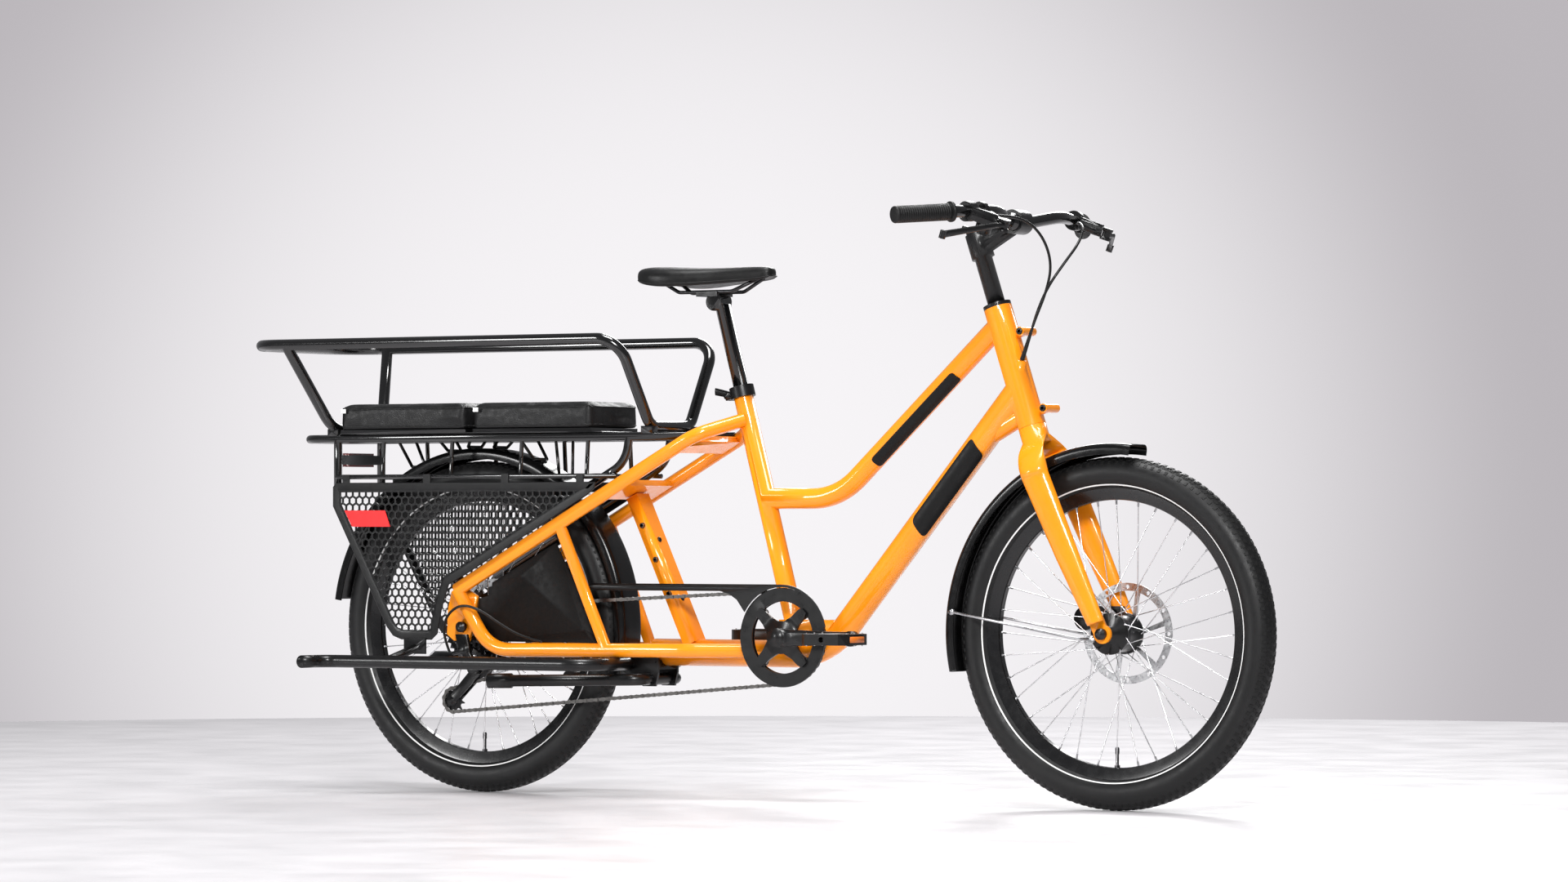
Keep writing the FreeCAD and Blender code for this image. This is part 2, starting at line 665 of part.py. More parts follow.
def make_fork():
    """Steerer, arched crown, two tapered blades and their ends, welded into one."""
    steerer = rod(on_head(-30), on_head(v.head_tube_length + 136.5), v.steerer_radius)
    crown = rod(on_head(-0.5), on_head(-34), v.head_tube_radius)
    top = blade_ring(-96, 7.5, -55, 27, 14)
    shoulder = Part.makeLoft([
        blade_ring(-22, 1, -2, 25, 21, 62), blade_ring(-38, 3, -27, 26, 19, 52),
        blade_ring(-62, 5.5, -48, 27, 15.5, 26), top], True)
    blade = Part.makeLoft([
        top, blade_ring(-250, 26, -57, 23, 12),
        blade_ring(-fork_drop + 22, fork_offset - 5, -57.5, 17, 9)], True, True)
    inner = -fork_inner
    end = rod(front_axle + Y * (inner - 6), front_axle + Y * inner, 17)
    toe = on_head(-fork_drop + 40, fork_offset - 7)
    corners = [toe - head_forward * 15, front_axle - head_forward * 14 - head_up * 8,
               front_axle + head_forward * 14 - head_up * 8, toe + head_forward * 15]
    web = plate_solid([(spot.x, spot.z) for spot in corners], inner - 6, 6)
    half = fused([end, web]).cut(rod(front_axle + Y * -80, front_axle, v.axle_radius))
    half = fused([half, blade, shoulder])
    fork = fused([steerer, crown, half, mirrored(half)])
    feature("fork", fork)
    return fork


bar_along, bar_ahead = v.head_tube_length + 132.5, 87


def make_stem():
    """Spacers, steerer clamp, arm and bar clamp with its face plate bolts."""
    spacer_foot = v.head_tube_length + 7 + v.seat_gap
    spacer_top = spacer_foot + v.riser_length
    bore = v.steerer_radius + v.seat_gap
    spacer = rod(on_head(spacer_foot), on_head(spacer_top), v.riser_radius)
    clamp = rod(on_head(spacer_top), on_head(spacer_top + 46), 21)
    cap = rod(on_head(spacer_top + 46), on_head(spacer_top + 51), 18)
    bar_centre = on_head(bar_along, bar_ahead)
    grip = rod(bar_centre + Y * -21, bar_centre + Y * 21, 22)
    arm = section_loft([oval(on_head(spacer_top + 23, 10), head_up, Y, 20, 17),
                        oval(on_head(bar_along - 4, bar_ahead - 14), head_up, Y, 17, 17)])
    stem = fused([spacer, clamp, cap, grip, arm])
    stem = stem.cut(rod(on_head(0), on_head(spacer_top + 46), bore))
    feature("stem", stem.cut(rod(bar_centre + Y * -40, bar_centre + Y * 40,
                                 v.bar_clamp_radius + v.running_gap)))
    return bar_centre


bar_centre = make_stem()
bar_rise, grip_inner, bar_end = [bar_centre + Vector(x, -y, z) for x, y, z in
                                 [(25, 114, 14), (4, 222, 9), (-53, 334, 0)]]


def make_handlebar():
    """Swept handlebar, thicker where the stem holds it, and its two rubber grips."""
    half = tube([bar_centre, bar_centre + Y * -34, bar_rise, grip_inner, bar_end], [70, 90, 40],
                v.bar_radius)
    sleeve = rod(bar_centre + Y * -27, bar_centre + Y * 27, v.bar_clamp_radius)
    feature("handlebar", fused([half, mirrored(half), sleeve]))
    along = (bar_end - grip_inner).normalize()
    start = bar_end - along * (v.grip_length - 8)
    grip = rod(start, bar_end + along * 5, v.grip_radius)
    flange = rod(start, start + along * 5, v.grip_radius + 3)
    grip = grip.fuse(flange).cut(rod(start - along, bar_end, v.bar_radius + v.running_gap))
    feature("grips", grip, mirrored(grip))


def perch_frame(side):
    """Middle of a brake lever's clamp on the bar, and the bar's heading there."""
    centre = bar_rise + (grip_inner - bar_rise) * 0.72
    along = (grip_inner - bar_rise).normalize()
    if side == LEFT:
        return Vector(centre.x, -centre.y, centre.z), Vector(along.x, -along.y, along.z)
    return centre, along


def tilted(shape, side):
    """A piece of a brake lever, turned down about the bar."""
    centre, along = perch_frame(side)
    return shape.rotated(centre, along, v.lever_tilt * side)


lever_reach = Vector(74, 4, -2)


def make_shifter(on_bar, along):
    """Thumb shifter: returns its pod with the band round the bar, and makes its paddle."""
    pod = on_bar + Vector(14, 0, -27)
    band = rod(on_bar - along * 5, on_bar + along * 5, v.bar_radius + 6)
    drum = rod(pod - Z * 7, pod + Z * 9, 15)
    pin = rod(pod - Z * 12, pod - Z * 6, 3)
    link = section_loft([oval(on_bar, X, Y, 9, 5), oval(pod, X, Y, 9, 5)])
    hub = rod(pod - Z * 11.5, pod - Z * 7.2, 10)
    thumb = section_loft([oval(pod + Vector(-4, 4, -9.4), Y, Z, 6, 2),
                          oval(pod + Vector(-46, 14, -13), Y, Z, 8, 3)])
    paddle = hub.fuse(thumb).cut(rod(pod - Z * 20, pod, 3 + v.running_gap))
    feature("shift_lever", tilted(paddle, RIGHT))
    pod_solid = fused([band, drum, pin, link])
    return pod_solid.cut(rod(on_bar - along * 40, on_bar + along * 40,
                             v.bar_radius + v.running_gap))


def make_levers():
    """Brake lever clamps with their pivots, the two blades, and the thumb shifter."""
    perches = []
    for side in (RIGHT, LEFT):
        centre, along = perch_frame(side)
        inward = Y * -side
        pivot = centre + Vector(lever_reach.x, lever_reach.y * -side, lever_reach.z)
        clamp = rod(centre - along * 8, centre + along * 8, v.bar_radius + 7)
        body = rod(centre + X * 29 + inward * 30, pivot + inward * 2 - X * 8, 9)
        block = Part.makeBox(44, 20, 22, centre + Vector(12, -10, -11))
        eye = rod(pivot - Z * 11, pivot + Z * 11, 10)
        nipple = rod(centre + X * 29 + inward * 26, centre + X * 29 + inward * 37, 3.5)
        perch = fused([clamp, body, block, eye, nipple])
        mouth = Part.makeBox(60, 60, 10.4, pivot + Vector(-17, -30 - side * -13, -5.2))
        perch = perch.cut(mouth).cut(rod(pivot - Z * 20, pivot + Z * 20, 3))
        perch = perch.cut(rod(centre - along * 60, centre + along * 60,
                              v.bar_radius + v.running_gap))
        perch = perch.fuse(rod(pivot - Z * 11, pivot + Z * 11, 3))
        if side == RIGHT:
            perch = perch.fuse(make_shifter(centre - along * 34, along))
        perches.append(tilted(perch, side))
        tip = pivot + Vector(-50, side * 116, -30)
        elbow = pivot + Vector(-2, side * 28, 0)
        blade = section_loft([oval(pivot + Y * (side * 4), X, Z, 6, 4.6),
                              oval(elbow, X, Z, 5, 4.6), oval(tip, X, Z, 4, 7)])
        hub = rod(pivot - Z * 5, pivot + Z * 5, 8)
        ball = rod(tip - Z * 7, tip + Z * 7, 6)
        blade = fused([blade, hub, ball])
        blade = blade.cut(rod(pivot - Z * 20, pivot + Z * 20, 3 + v.running_gap))
        name = "brake_lever_right" if side == RIGHT else "brake_lever_left"
        feature(name, tilted(blade, side))
    feature("lever_perches", *perches)


fork_solid = make_fork()
make_handlebar()
make_levers()
# ---------------------------------------------------------------- fenders

def make_fender(label, axle, start, sweep):
    """A channel bent round the tyre, from one angle on, measured up from straight ahead."""
    outer = "Sizes.wheel_radius + Sizes.fender_gap"
    wall, side = "Sizes.fender_wall", "Sizes.fender_width / 2"
    lip = outer + " - Sizes.fender_skirt"
    half = [(lip, "%s - %s" % (side, wall)), (outer + " - 7", "%s - %s" % (side, wall)),
            ("%s - %s" % (outer, wall), side + " - 12")]
    skin = [(lip, side), (outer + " - 6", side), (outer, side + " - 11")]
    below = [(radius, "-(%s)" % height) for radius, height in half]
    below_skin = [(radius, "-(%s)" % height) for radius, height in skin]
    revolved(label, below + half[::-1] + skin + below_skin[::-1],
             side_view(axle.x, 0, axle.z, start), str(sweep))


def make_fender_stays():
    """Wire stays from the fork ends to the front fender's lower edge."""
    edge = v.fender_width / 2
    low = front_axle + Vector(-340 + 22, -edge - 2.5, 36)
    eye = front_axle + Vector(-22, -fork_inner - 3, -9)
    wire = tube([low + Vector(-8, 0, 0), low, eye + Vector(-30, 0, 0), eye], [12, 20], 2.5)
    bolt = rod(low + Y * -4, low + Y * 2.5, 5)
    eyelet = rod(eye + Y * -5, eye + Y * 3, 7)
    stay = fused([wire, bolt, eyelet])
    stay = stay.cut(rod(front_axle + Y * -80, front_axle, 17 + v.running_gap))
    stays = [max(stay.Solids, key=lambda solid: solid.Volume)]
    stays.append(mirrored(stays[0]))
    feature("front_fender_stays", *stays)


make_fender("front_fender", front_axle, 82.7, 109.6)
make_fender("rear_fender", rear_axle, -15.4, 186.9)
make_fender_stays()


# ---------------------------------------------------------------- brake calipers

def make_caliper(label, axle, face, centre, mount, carrier, foothold):
    """A disc caliper: two halves with a slot for the disc, bridged over the disc's edge."""
    spread = v.rotor_thickness / 2
    middle = face + spread
    body = rod(centre + Y * (middle - 9), centre + Y * (middle + 15), 21)
    arm = Part.makeBox((mount - centre).x + 14, 8, 26,
                       Vector(centre.x, middle + 7, min(centre.z, mount.z) - 4))
    body = body.fuse(arm)
    slot = rod(axle + Y * (middle - spread - 1.2), axle + Y * (middle + spread + 1.2),
               v.rotor_radius + 2)
    bracket = rod(centre + Y * (middle + 8), foothold, 6)
    caliper = body.fuse(bracket).cut(slot).cut(carrier)
    feature(label, max(caliper.Solids, key=lambda solid: solid.Volume))


make_caliper("front_caliper", front_axle, 38, front_axle + Vector(-84, 0, 26),
             front_axle + Vector(-26, 0, 26), fork_solid, front_axle + Vector(-30, 54, 40))
make_caliper("rear_caliper", rear_axle, 34, rear_axle + Vector(62, 0, 56),
             rear_axle + Vector(70, 0, 60), mirrored(right_triangle), Vector(-575, 80, 405))


# ---------------------------------------------------------------- rack and pads

def pad_places():
    """Rear edge and length of the front pad and of the rear one."""
    front_rear = v.pad_front_x - v.front_pad_length
    return [(front_rear, v.front_pad_length),
            (front_rear - v.pad_split - v.rear_pad_length, v.rear_pad_length)]


def make_rack(welded_to):
    """Deck rails, posts, side bars, front braces, deck plate and fender struts."""
    z, y = v.deck_z, v.deck_half_width
    rail = v.deck_rail_radius
    stay_slope = (stay_top.z - stay_foot.z) / (stay_top.x - stay_foot.x)
    parts = [tube([Vector(v.deck_front_x, -y, z), Vector(v.deck_rear_x, -y, z),
                   Vector(v.deck_rear_x, y, z), Vector(v.deck_front_x, y, z)], [40, 40], rail)]
    brace_foot = Vector(-640, -y, 410)
    brace_top = Vector(-246, -y, brace_foot.z + (-246 + 640) * stay_slope)
    side = [
        rod(Vector(v.post_x, -y, v.side_bar_z - 24), Vector(v.post_x, -y, z), rail),
        rod(Vector(v.post_x, -y - 5.5, v.side_bar_z), Vector(-262, -y - 5.5, v.side_bar_z),
            v.side_bar_radius),
        tube([Vector(-238, -y, z), brace_top, brace_foot], [60], rail),
        plate_solid([(-652, 398), (-634, 420), (-596, 396), (-606, 384)], -y - 3, 6)]
    for x in (-800, -640, -480, -330):
        side.append(rod(Vector(x, -y, z), Vector(x, -y - 5.5, v.side_bar_z),
                        v.side_bar_radius - 0.5))
    plate = Part.makeBox(602, 150, v.deck_plate, Vector(-902, -75, z + rail))
    boards = [Part.makeBox(length - 14, v.pad_width - 16, v.board_thickness,
                           Vector(rear + 7, 8 - v.pad_width / 2, z + rail + v.deck_plate))
              for rear, length in pad_places()]
    cross = [rod(Vector(x, -y, z), Vector(x, y, z), rail - 1) for x in (-760, -560, -330)]
    reach = v.wheel_radius + v.fender_gap + 3.1
    struts = []
    for top, foot in ((-803, 117), (-711, 102), (-623, 94), (-555, 84), (-521, 68), (-432, 57)):
        angle = math.radians(foot)
        end = rear_axle + Vector(math.cos(angle), 0, math.sin(angle)) * reach
        struts.append(rod(Vector(top, -30, z + rail), end + Y * -22, 3))
        struts.append(rod(end + Y * -22, end + Y * 22, 3))
        struts.append(rod(Vector(top, 30, z + rail), end + Y * 22, 3))
    saddles = [Part.makeBox(24, 2 * y + 16, 14, Vector(x - 13, -y - 8, z + rail - 3))
               for x in (RAIL_FEET)]
    middle = Part.makeBox(900, 2 * y - 24, 60, Vector(-1000, 12 - y, z + rail))
    saddles = [saddle.cut(middle) for saddle in saddles]
    lamp_plate = Part.makeBox(3, 2 * y, 18, Vector(v.post_x + 4, -y, 622))
    rack = fused(parts + side + [mirrored(piece) for piece in side] + [plate] + boards + cross
                 + struts + saddles + [lamp_plate])
    for neighbour in welded_to:
        rack = rack.cut(neighbour)
    rack = max(rack.Solids, key=lambda solid: solid.Volume)
    feature("rack_frame", rack)


RAIL_FEET = (-194, -915)


def make_passenger_rail():
    """Hoop round the passengers: one closed loop of tube and a second foot behind."""
    seat = v.deck_z + v.deck_rail_radius + v.rail_radius
    wide, high = v.rail_half_width, v.rail_z
    front, rear = RAIL_FEET
    half = tube([Vector(front, 0, seat), Vector(front, -67, seat),
                 Vector(v.rail_front_x, -wide, high), Vector(v.rail_rear_x, -wide, high),
                 Vector(v.rail_rear_x, 0, high)], [34, 50, 75], v.rail_radius)
    rear_foot = tube([Vector(rear, 0, seat), Vector(rear, -80, seat), Vector(-963, -wide, high)],
                     [50], v.rail_radius)
    foot = fused([half, rear_foot])
    hoop = fused([foot, mirrored(foot)])
    feature("passenger_rail", hoop)
    return hoop


def make_seat_pads():
    """Two passenger pads, plain blocks with rounded edges."""
    base = v.deck_z + v.deck_rail_radius + v.deck_plate + v.board_thickness + v.seat_gap
    pads = []
    for rear, length in pad_places():
        pad_block = Part.makeBox(length, v.pad_width, v.pad_height - v.seat_gap,
                                 Vector(rear, -v.pad_width / 2, base))
        upright = [edge for edge in pad_block.Edges if abs(edge.tangentAt(0).z) > 0.9]
        pads.append(pad_block.makeFillet(12, upright))
    feature("seat_pads", *pads)


hoop_solid = make_passenger_rail()
make_rack([front_envelope, right_triangle, mirrored(right_triangle), strut_solid, hoop_solid])
make_seat_pads()


def make_rear_light():
    """Lamp housing hung between the rear posts."""
    body = new_body("rear_light", Placement(Vector(v.post_x - 16, 0, 631),
                                            Rotation()))
    pad(body, outline(body, "XY_Plane", [
        ("0", "-34"), ("6", "-40"), ("20", "-40"), ("20", "40"), ("6", "40"), ("0", "34")]),
        "26", True)
    node(body, "rear_light")


def guard_windows(corners, margin):
    """Hexagons of a honeycomb that lie inside the guard's border."""
    pitch, web = v.guard_pitch, v.guard_web
    edge = (pitch - web) / math.sqrt(3)
    ring = [Vector(x, 0, z) for x, z in corners]
    face = Part.Face(Part.makePolygon(ring + ring[:1]))
    inside = face.makeOffset2D(-margin, 2)
    cells = []
    rows = int(260 / (pitch * 0.866)) + 2
    columns = int(620 / pitch) + 2
    for row in range(rows):
        for column in range(columns):
            x = -920 + pitch * (column + 0.5 * (row % 2))
            z = 290 + pitch * 0.866 * row
            hexagon = [Vector(x + edge * math.sin(math.pi / 3 * k), -200,
                              z + edge * math.cos(math.pi / 3 * k)) for k in range(6)]
            if all(inside.isInside(Vector(spot.x, 0, spot.z), 0.1, True) for spot in hexagon):
                cells.append(Part.Face(Part.makePolygon(hexagon + hexagon[:1])).extrude(Y * 400))
    return cells


def guard_corners():
    """Outline of a side guard; its slanting edge keeps clear of the seat stay."""
    rear, front = on_stay(-600).z + 20, on_stay(-322).z + 20
    top = v.side_bar_z - 11
    return [(-904, top), (-912, top - 8), (-912, 542), (-784, 312), (-770, 296), (-750, 289),
            (-680, 289), (-667, 300), (-656, 350), (-640, rear - 20), (-600, rear),
            (-322, front), (-308, front + 12), (-306, max(top, front + 23))]


def make_side_guards():
    """Honeycomb guards that keep feet and coats out of the rear wheel."""
    outer = v.guard_offset + v.guard_thickness
    corners = guard_corners()
    sheet_metal = plate_solid(corners, -outer, v.guard_thickness)
    cells = guard_windows(corners, v.guard_border)
    hooks = [Part.makeBox(18, v.guard_thickness, 24, Vector(x, -outer, v.side_bar_z - 19))
             for x in (-890, -700, -520, -350)]
    guard = fused([sheet_metal.cut(Part.makeCompound(cells))] + hooks)
    feature("side_guard_right", guard)
    feature("side_guard_left", mirrored(guard))


def make_side_panels():
    """Thin panels between the stays, each held by two screws."""
    corners = [(-590, 300), (-590, 366), (-553, 374), (-550, 398), (-404, 473), (-304, 292),
               (-318, 287), (-574, 287)]
    panel = plate_solid(corners, -67.5, 1.5)
    screws = [rod(Vector(x, -70.5, z), Vector(x, -67, z), 5) for x, z in ((-344, 312), (-480, 410))]
    panel = fused([panel] + screws)
    feature("side_panels", panel, mirrored(panel))


def make_footrests():
    """One tube: both footrests, flared at the back, and the run across under the frame."""
    z, y, x = v.footrest_z, v.footrest_spread, v.stand_x - v.crossing_setback
    rear = -868
    half = tube([Vector(x, 0, z), Vector(x, -y, z), Vector(rear, -y, z),
                 Vector(rear, -y - v.footrest_flare, z)], [60, 36], v.footrest_radius)
    arm = rod(Vector(-716, -v.guard_offset - 6, z + 24), Vector(-716, -y, z + 4), 8)
    foot = Part.makeBox(50, 4, 30, Vector(-741, -v.guard_offset - v.guard_thickness - 4, 262))
    half = fused([half, foot, arm])
    half = half.cut(Part.makeBox(200, 30, 200, Vector(-800, -v.guard_offset - 3, 200)))
    half = max(half.Solids, key=lambda solid: solid.Volume)
    feature("footrests", fused([half, mirrored(half)]))


stand_pivot = Vector(v.stand_x, 0, v.stand_z)


def make_stand_bracket(envelope):
    """Two cheeks under the frame that hold the footrest tube and the stand's pivot."""
    side = [(-61, 42), (20, 42), (20, 12), (14, -13), (-14, -13), (-61, 16)]
    corners = [(v.stand_x + x, v.stand_z + z) for x, z in side]
    cheeks = [plate_solid(corners, y, 5) for y in (-35, 30)]
    block = Part.makeBox(58, 62, 18, stand_pivot + Vector(-40, -31, 18))
    bracket = fused(cheeks + [block])
    crossing = Vector(v.stand_x - v.crossing_setback, 0, v.footrest_z)
    for centre, radius in ((stand_pivot, v.stand_radius), (crossing, v.footrest_radius)):
        bracket = bracket.cut(rod(centre + Y * -60, centre + Y * 60, radius + v.running_gap))
    bracket = bracket.cut(envelope)
    feature("stand_bracket", max(bracket.Solids, key=lambda solid: solid.Volume))


def make_stand():
    """Centre stand: one bent tube turning in the cheeks, with a rubber foot on each leg."""
    foot = stand_pivot + Vector(-v.stand_length - 17, -v.stand_spread, -5)
    corner = stand_pivot + Y * -68
    along = (foot - corner).normalize()
    half = tube([stand_pivot, corner, foot], [28], v.stand_radius)
    half = half.fuse(rod(foot - along * 42, foot + along * 4, v.stand_radius + 3))
    feature("centre_stand", fused([half, mirrored(half)]))


make_rear_light()
make_side_guards()
make_side_panels()
make_footrests()
make_stand_bracket(front_envelope)
make_stand()
# ---------------------------------------------------------------- drive

def pitch_radius(teeth):
    """Radius on which one tooth takes exactly one link of chain."""
    return teeth * v.chain_pitch / (2 * math.pi)


guide_axle = rear_axle + Vector(v.guide_pulley_x, 0, -v.guide_pulley_drop)


def cage_end(angle):
    return guide_axle + Vector(math.cos(angle), 0, math.sin(angle)) * v.cage_length


def chain_stops(angle):
    """The four toothed wheels in the chain's order, with the sense of the wrap."""
    return [(crank_axis, pitch_radius(v.ring_teeth), 1),
            (cage_end(angle), pitch_radius(v.pulley_teeth), 1),
            (guide_axle, pitch_radius(v.pulley_teeth), -1),
            (rear_axle, pitch_radius(v.driven_teeth), 1)]


def chain_runs(angle):
    """Heading and length of each straight run between two stops."""
    stops = chain_stops(angle)
    runs = []
    for (start, near, sense), (end, far, next_sense) in zip(stops, stops[1:] + stops[:1]):
        gap = end - start
        shift = sense * near - next_sense * far
        length = math.sqrt(gap.x ** 2 + gap.z ** 2 - shift ** 2)
        runs.append((math.atan2(gap.z, gap.x) - math.atan2(shift, length), length))
    return runs


def chain_wraps(angle):
    """Angle that the chain turns on each stop."""
    runs = chain_runs(angle)
    wraps = []
    for k, (centre, radius, sense) in enumerate(chain_stops(angle)):
        wraps.append((sense * (runs[k - 1][0] - runs[k][0])) % (2 * math.pi))
    return wraps


def chain_length(angle):
    arcs = zip(chain_stops(angle), chain_wraps(angle))
    return (sum(length for heading, length in chain_runs(angle))
            + sum(stop[1] * wrap for stop, wrap in arcs))


def cage_angle():
    """Angle of the cage at which the chain has its whole number of links."""
    slack, tight = math.radians(-100), math.radians(-150)
    for step in range(50):
        middle = (slack + tight) / 2
        if chain_length(middle) < v.chain_links * v.chain_pitch:
            slack = middle
        else:
            tight = middle
    return slack


cage_turn = cage_angle()
tension_axle = cage_end(cage_turn)


def chain_place(distance):
    """Point and heading on the chain's pitch line, measured from the top of the chainring."""
    stops, runs, wraps = (chain_stops(cage_turn), chain_runs(cage_turn), chain_wraps(cage_turn))
    distance %= v.chain_links * v.chain_pitch
    for k, (centre, radius, sense) in enumerate(stops):
        arc = radius * wraps[k]
        entry = runs[k - 1][0]
        if distance <= arc:
            heading = entry - sense * distance / radius
            normal = Vector(-math.sin(heading), 0, math.cos(heading)) * (sense * radius)
            return centre + normal, heading
        distance -= arc
        heading, length = runs[k]
        if distance <= length:
            normal = Vector(-math.sin(heading), 0, math.cos(heading)) * (sense * radius)
            along = Vector(math.cos(heading), 0, math.sin(heading)) * distance
            return centre + normal + along, heading
        distance -= length
    return chain_place(0)


def chain_offset(shift):
    """The pitch line moved outward by shift, as one closed wire of arcs and straight runs."""
    stops, runs, wraps = (chain_stops(cage_turn), chain_runs(cage_turn), chain_wraps(cage_turn))
    edges = []
    for k, (centre, radius, sense) in enumerate(stops):
        reach = sense * radius + shift
        spots = []
        for share in (0, 0.5, 1):
            heading = runs[k - 1][0] - sense * wraps[k] * share
            spots.append(centre + Vector(-math.sin(heading), 0, math.cos(heading)) * reach)
        edges.append(Part.Arc(*spots).toShape())
        heading, length = runs[k]
        along = Vector(math.cos(heading), 0, math.sin(heading)) * length
        edges.append(Part.LineSegment(spots[2], spots[2] + along).toShape())
    return Part.Wire(edges)


def make_chain():
    """Roller chain: two lines of side plates, and a roller between them at every pitch."""
    band = Part.Face([chain_offset(3.6), chain_offset(-3.6)])
    band.validate()
    rows = []
    for face in (1.4, -3.1):
        row = band.copy()
        row.translate(Y * (face - v.chain_line))
        rows.append(row.extrude(Y * 1.7))
    rollers = []
    for k in range(int(v.chain_links)):
        centre, heading = chain_place(k * v.chain_pitch)
        ring = [centre + Vector(math.cos(heading + math.pi / 3 * i), 0,
                                math.sin(heading + math.pi / 3 * i)) * 3.8
                + Y * (-1.4 - v.chain_line) for i in range(6)]
        rollers.append(Part.Face(Part.makePolygon(ring + ring[:1])).extrude(Y * 2.8))
    feature("chain", *(rows + rollers))


def tooth_ring(teeth, first, exact=True):
    """Outline of a sprocket whose first gap between teeth lies at the angle given."""
    radius = pitch_radius(teeth)
    step = 2 * math.pi / teeth
    floor, crest = 2.5 / radius, 0.9 / radius
    ring = []
    for k in range(int(teeth)):
        middle = first + step * k
        corners = [(-floor, -3.95), (floor, -3.95)] if exact else [(0, -3.95)]
        corners += [(step / 2 - crest, 3), (step / 2 + crest, 3)] if exact else [(step / 2, 3)]
        for turn, height in corners:
            angle = middle + turn
            ring.append(Vector(math.cos(angle), 0, math.sin(angle)) * (radius + height))
    return ring


def roller_phase(stop):
    """Angle, seen from a stop's own centre, of one roller that lies on it."""
    centre, radius, sense = chain_stops(cage_turn)[stop]
    wraps, runs = chain_wraps(cage_turn), chain_runs(cage_turn)
    before = sum(chain_stops(cage_turn)[k][1] * wraps[k] + runs[k][1] for k in range(stop))
    spot = math.ceil(before / v.chain_pitch) * v.chain_pitch
    place = chain_place(spot)[0] - centre
    return math.atan2(place.z, place.x)


def sprocket(centre, teeth, first, y, exact=True, thickness=None):
    """One toothed plate in the middle of the given y."""
    thickness = thickness or v.sprocket_thickness
    ring = [centre + spot + Y * (y - thickness / 2) for spot in tooth_ring(teeth, first, exact)]
    return Part.Face(Part.makePolygon(ring + ring[:1])).extrude(Y * thickness)


def barrel(centre, low, high, radius):
    """A cylinder across the bicycle, between two values of y."""
    return rod(centre + Y * low, centre + Y * high, radius)


CASSETTE = [34, 27, 22, 18, 15, 13, 11]


def make_cassette():
    """Seven sprockets on their carrier; the fourth carries the chain."""
    carrier = barrel(rear_axle, -62, -29, 16.5)
    stack = [carrier]
    for k, teeth in enumerate(CASSETTE):
        y = -(31 + v.sprocket_step * k)
        driven = teeth == v.driven_teeth
        stack.append(sprocket(rear_axle, teeth, roller_phase(3), y, driven))
    cassette = fused(stack)
    big = barrel(rear_axle, -33, -29, pitch_radius(34) - 12)
    big = big.cut(barrel(rear_axle, -33, -29, pitch_radius(34) - 24))
    spokes = [plate_solid([(rear_axle.x + x * math.cos(a) - z * math.sin(a),
                            rear_axle.z + x * math.sin(a) + z * math.cos(a))
                           for x, z in ((20, -4), (60, -4), (60, 4), (20, 4))], -33, 4)
              for a in [math.pi / 3 * k for k in range(6)]]
    windows = big.cut(Part.makeCompound(spokes))
    cassette = cassette.cut(windows)
    feature("cassette", cassette.cut(barrel(rear_axle, -70, 0, v.axle_radius + v.running_gap)))


def ring_bolts():
    """Where the four arms of the spider are bolted to the chainring."""
    angles = [math.radians(90 * k + 45) for k in range(4)]
    return [crank_axis + Vector(math.cos(angle), 0, math.sin(angle)) * 62 for angle in angles]


def make_chainring():
    """Toothed ring and its outer guard ring, bolted to the crank's spider."""
    y = -v.chain_line
    half = v.sprocket_thickness / 2
    ring = sprocket(crank_axis, v.ring_teeth, roller_phase(0), y)
    ring = ring.cut(barrel(crank_axis, y - 5, y + 5, 66))
    tabs = []
    for centre in ring_bolts():
        tabs.append(barrel(centre, y - half, y + half, 9))
        tabs.append(barrel(centre, y - 9, y - half, 5))
        tabs.append(barrel(centre, y - 9, y - 6, 11))
    guard = barrel(crank_axis, y - 9, y - 6, 91).cut(barrel(crank_axis, y - 9, y - 6, 66))
    feature("chainring", fused([ring, guard] + tabs))


def crank_arm(side):
    """Tapered arm that steps outward from the spindle to the pedal, seen on one side."""
    ahead = -side * v.crank_length
    face = v.crank_offset
    spots = [(0, 58, 78, 17), (0.22, 64, 80, 14.5), (0.75, face - 3, face + 10, 12.5),
             (1, face, face + v.crank_thickness, 12.5)]
    rings = []
    for share, inner, outer, half in spots:
        middle = crank_axis + Vector(ahead * share, side * (inner + outer) / 2, 0)
        thick = (outer - inner) / 2
        rings.append([middle + Y * (thick * y) + Z * (half * z) for y, z in
                      ((-1, -0.6), (-0.6, -1), (0.6, -1), (1, -0.6),
                       (1, 0.6), (0.6, 1), (-0.6, 1), (-1, 0.6))])
    arm = section_loft(rings)
    eye = crank_axis + Vector(ahead, 0, 0)
    ends = [barrel(crank_axis, *sorted((side * 57, side * 79)), 18),
            barrel(eye, *sorted((side * face, side * (face + v.crank_thickness))), 14)]
    pin = barrel(eye, *sorted((side * (face + 4), side * (face + v.crank_thickness + 92))), 5)
    collar = barrel(eye, *sorted((side * (face + 14), side * (face + 17))), 9)
    return [arm, pin, collar] + ends


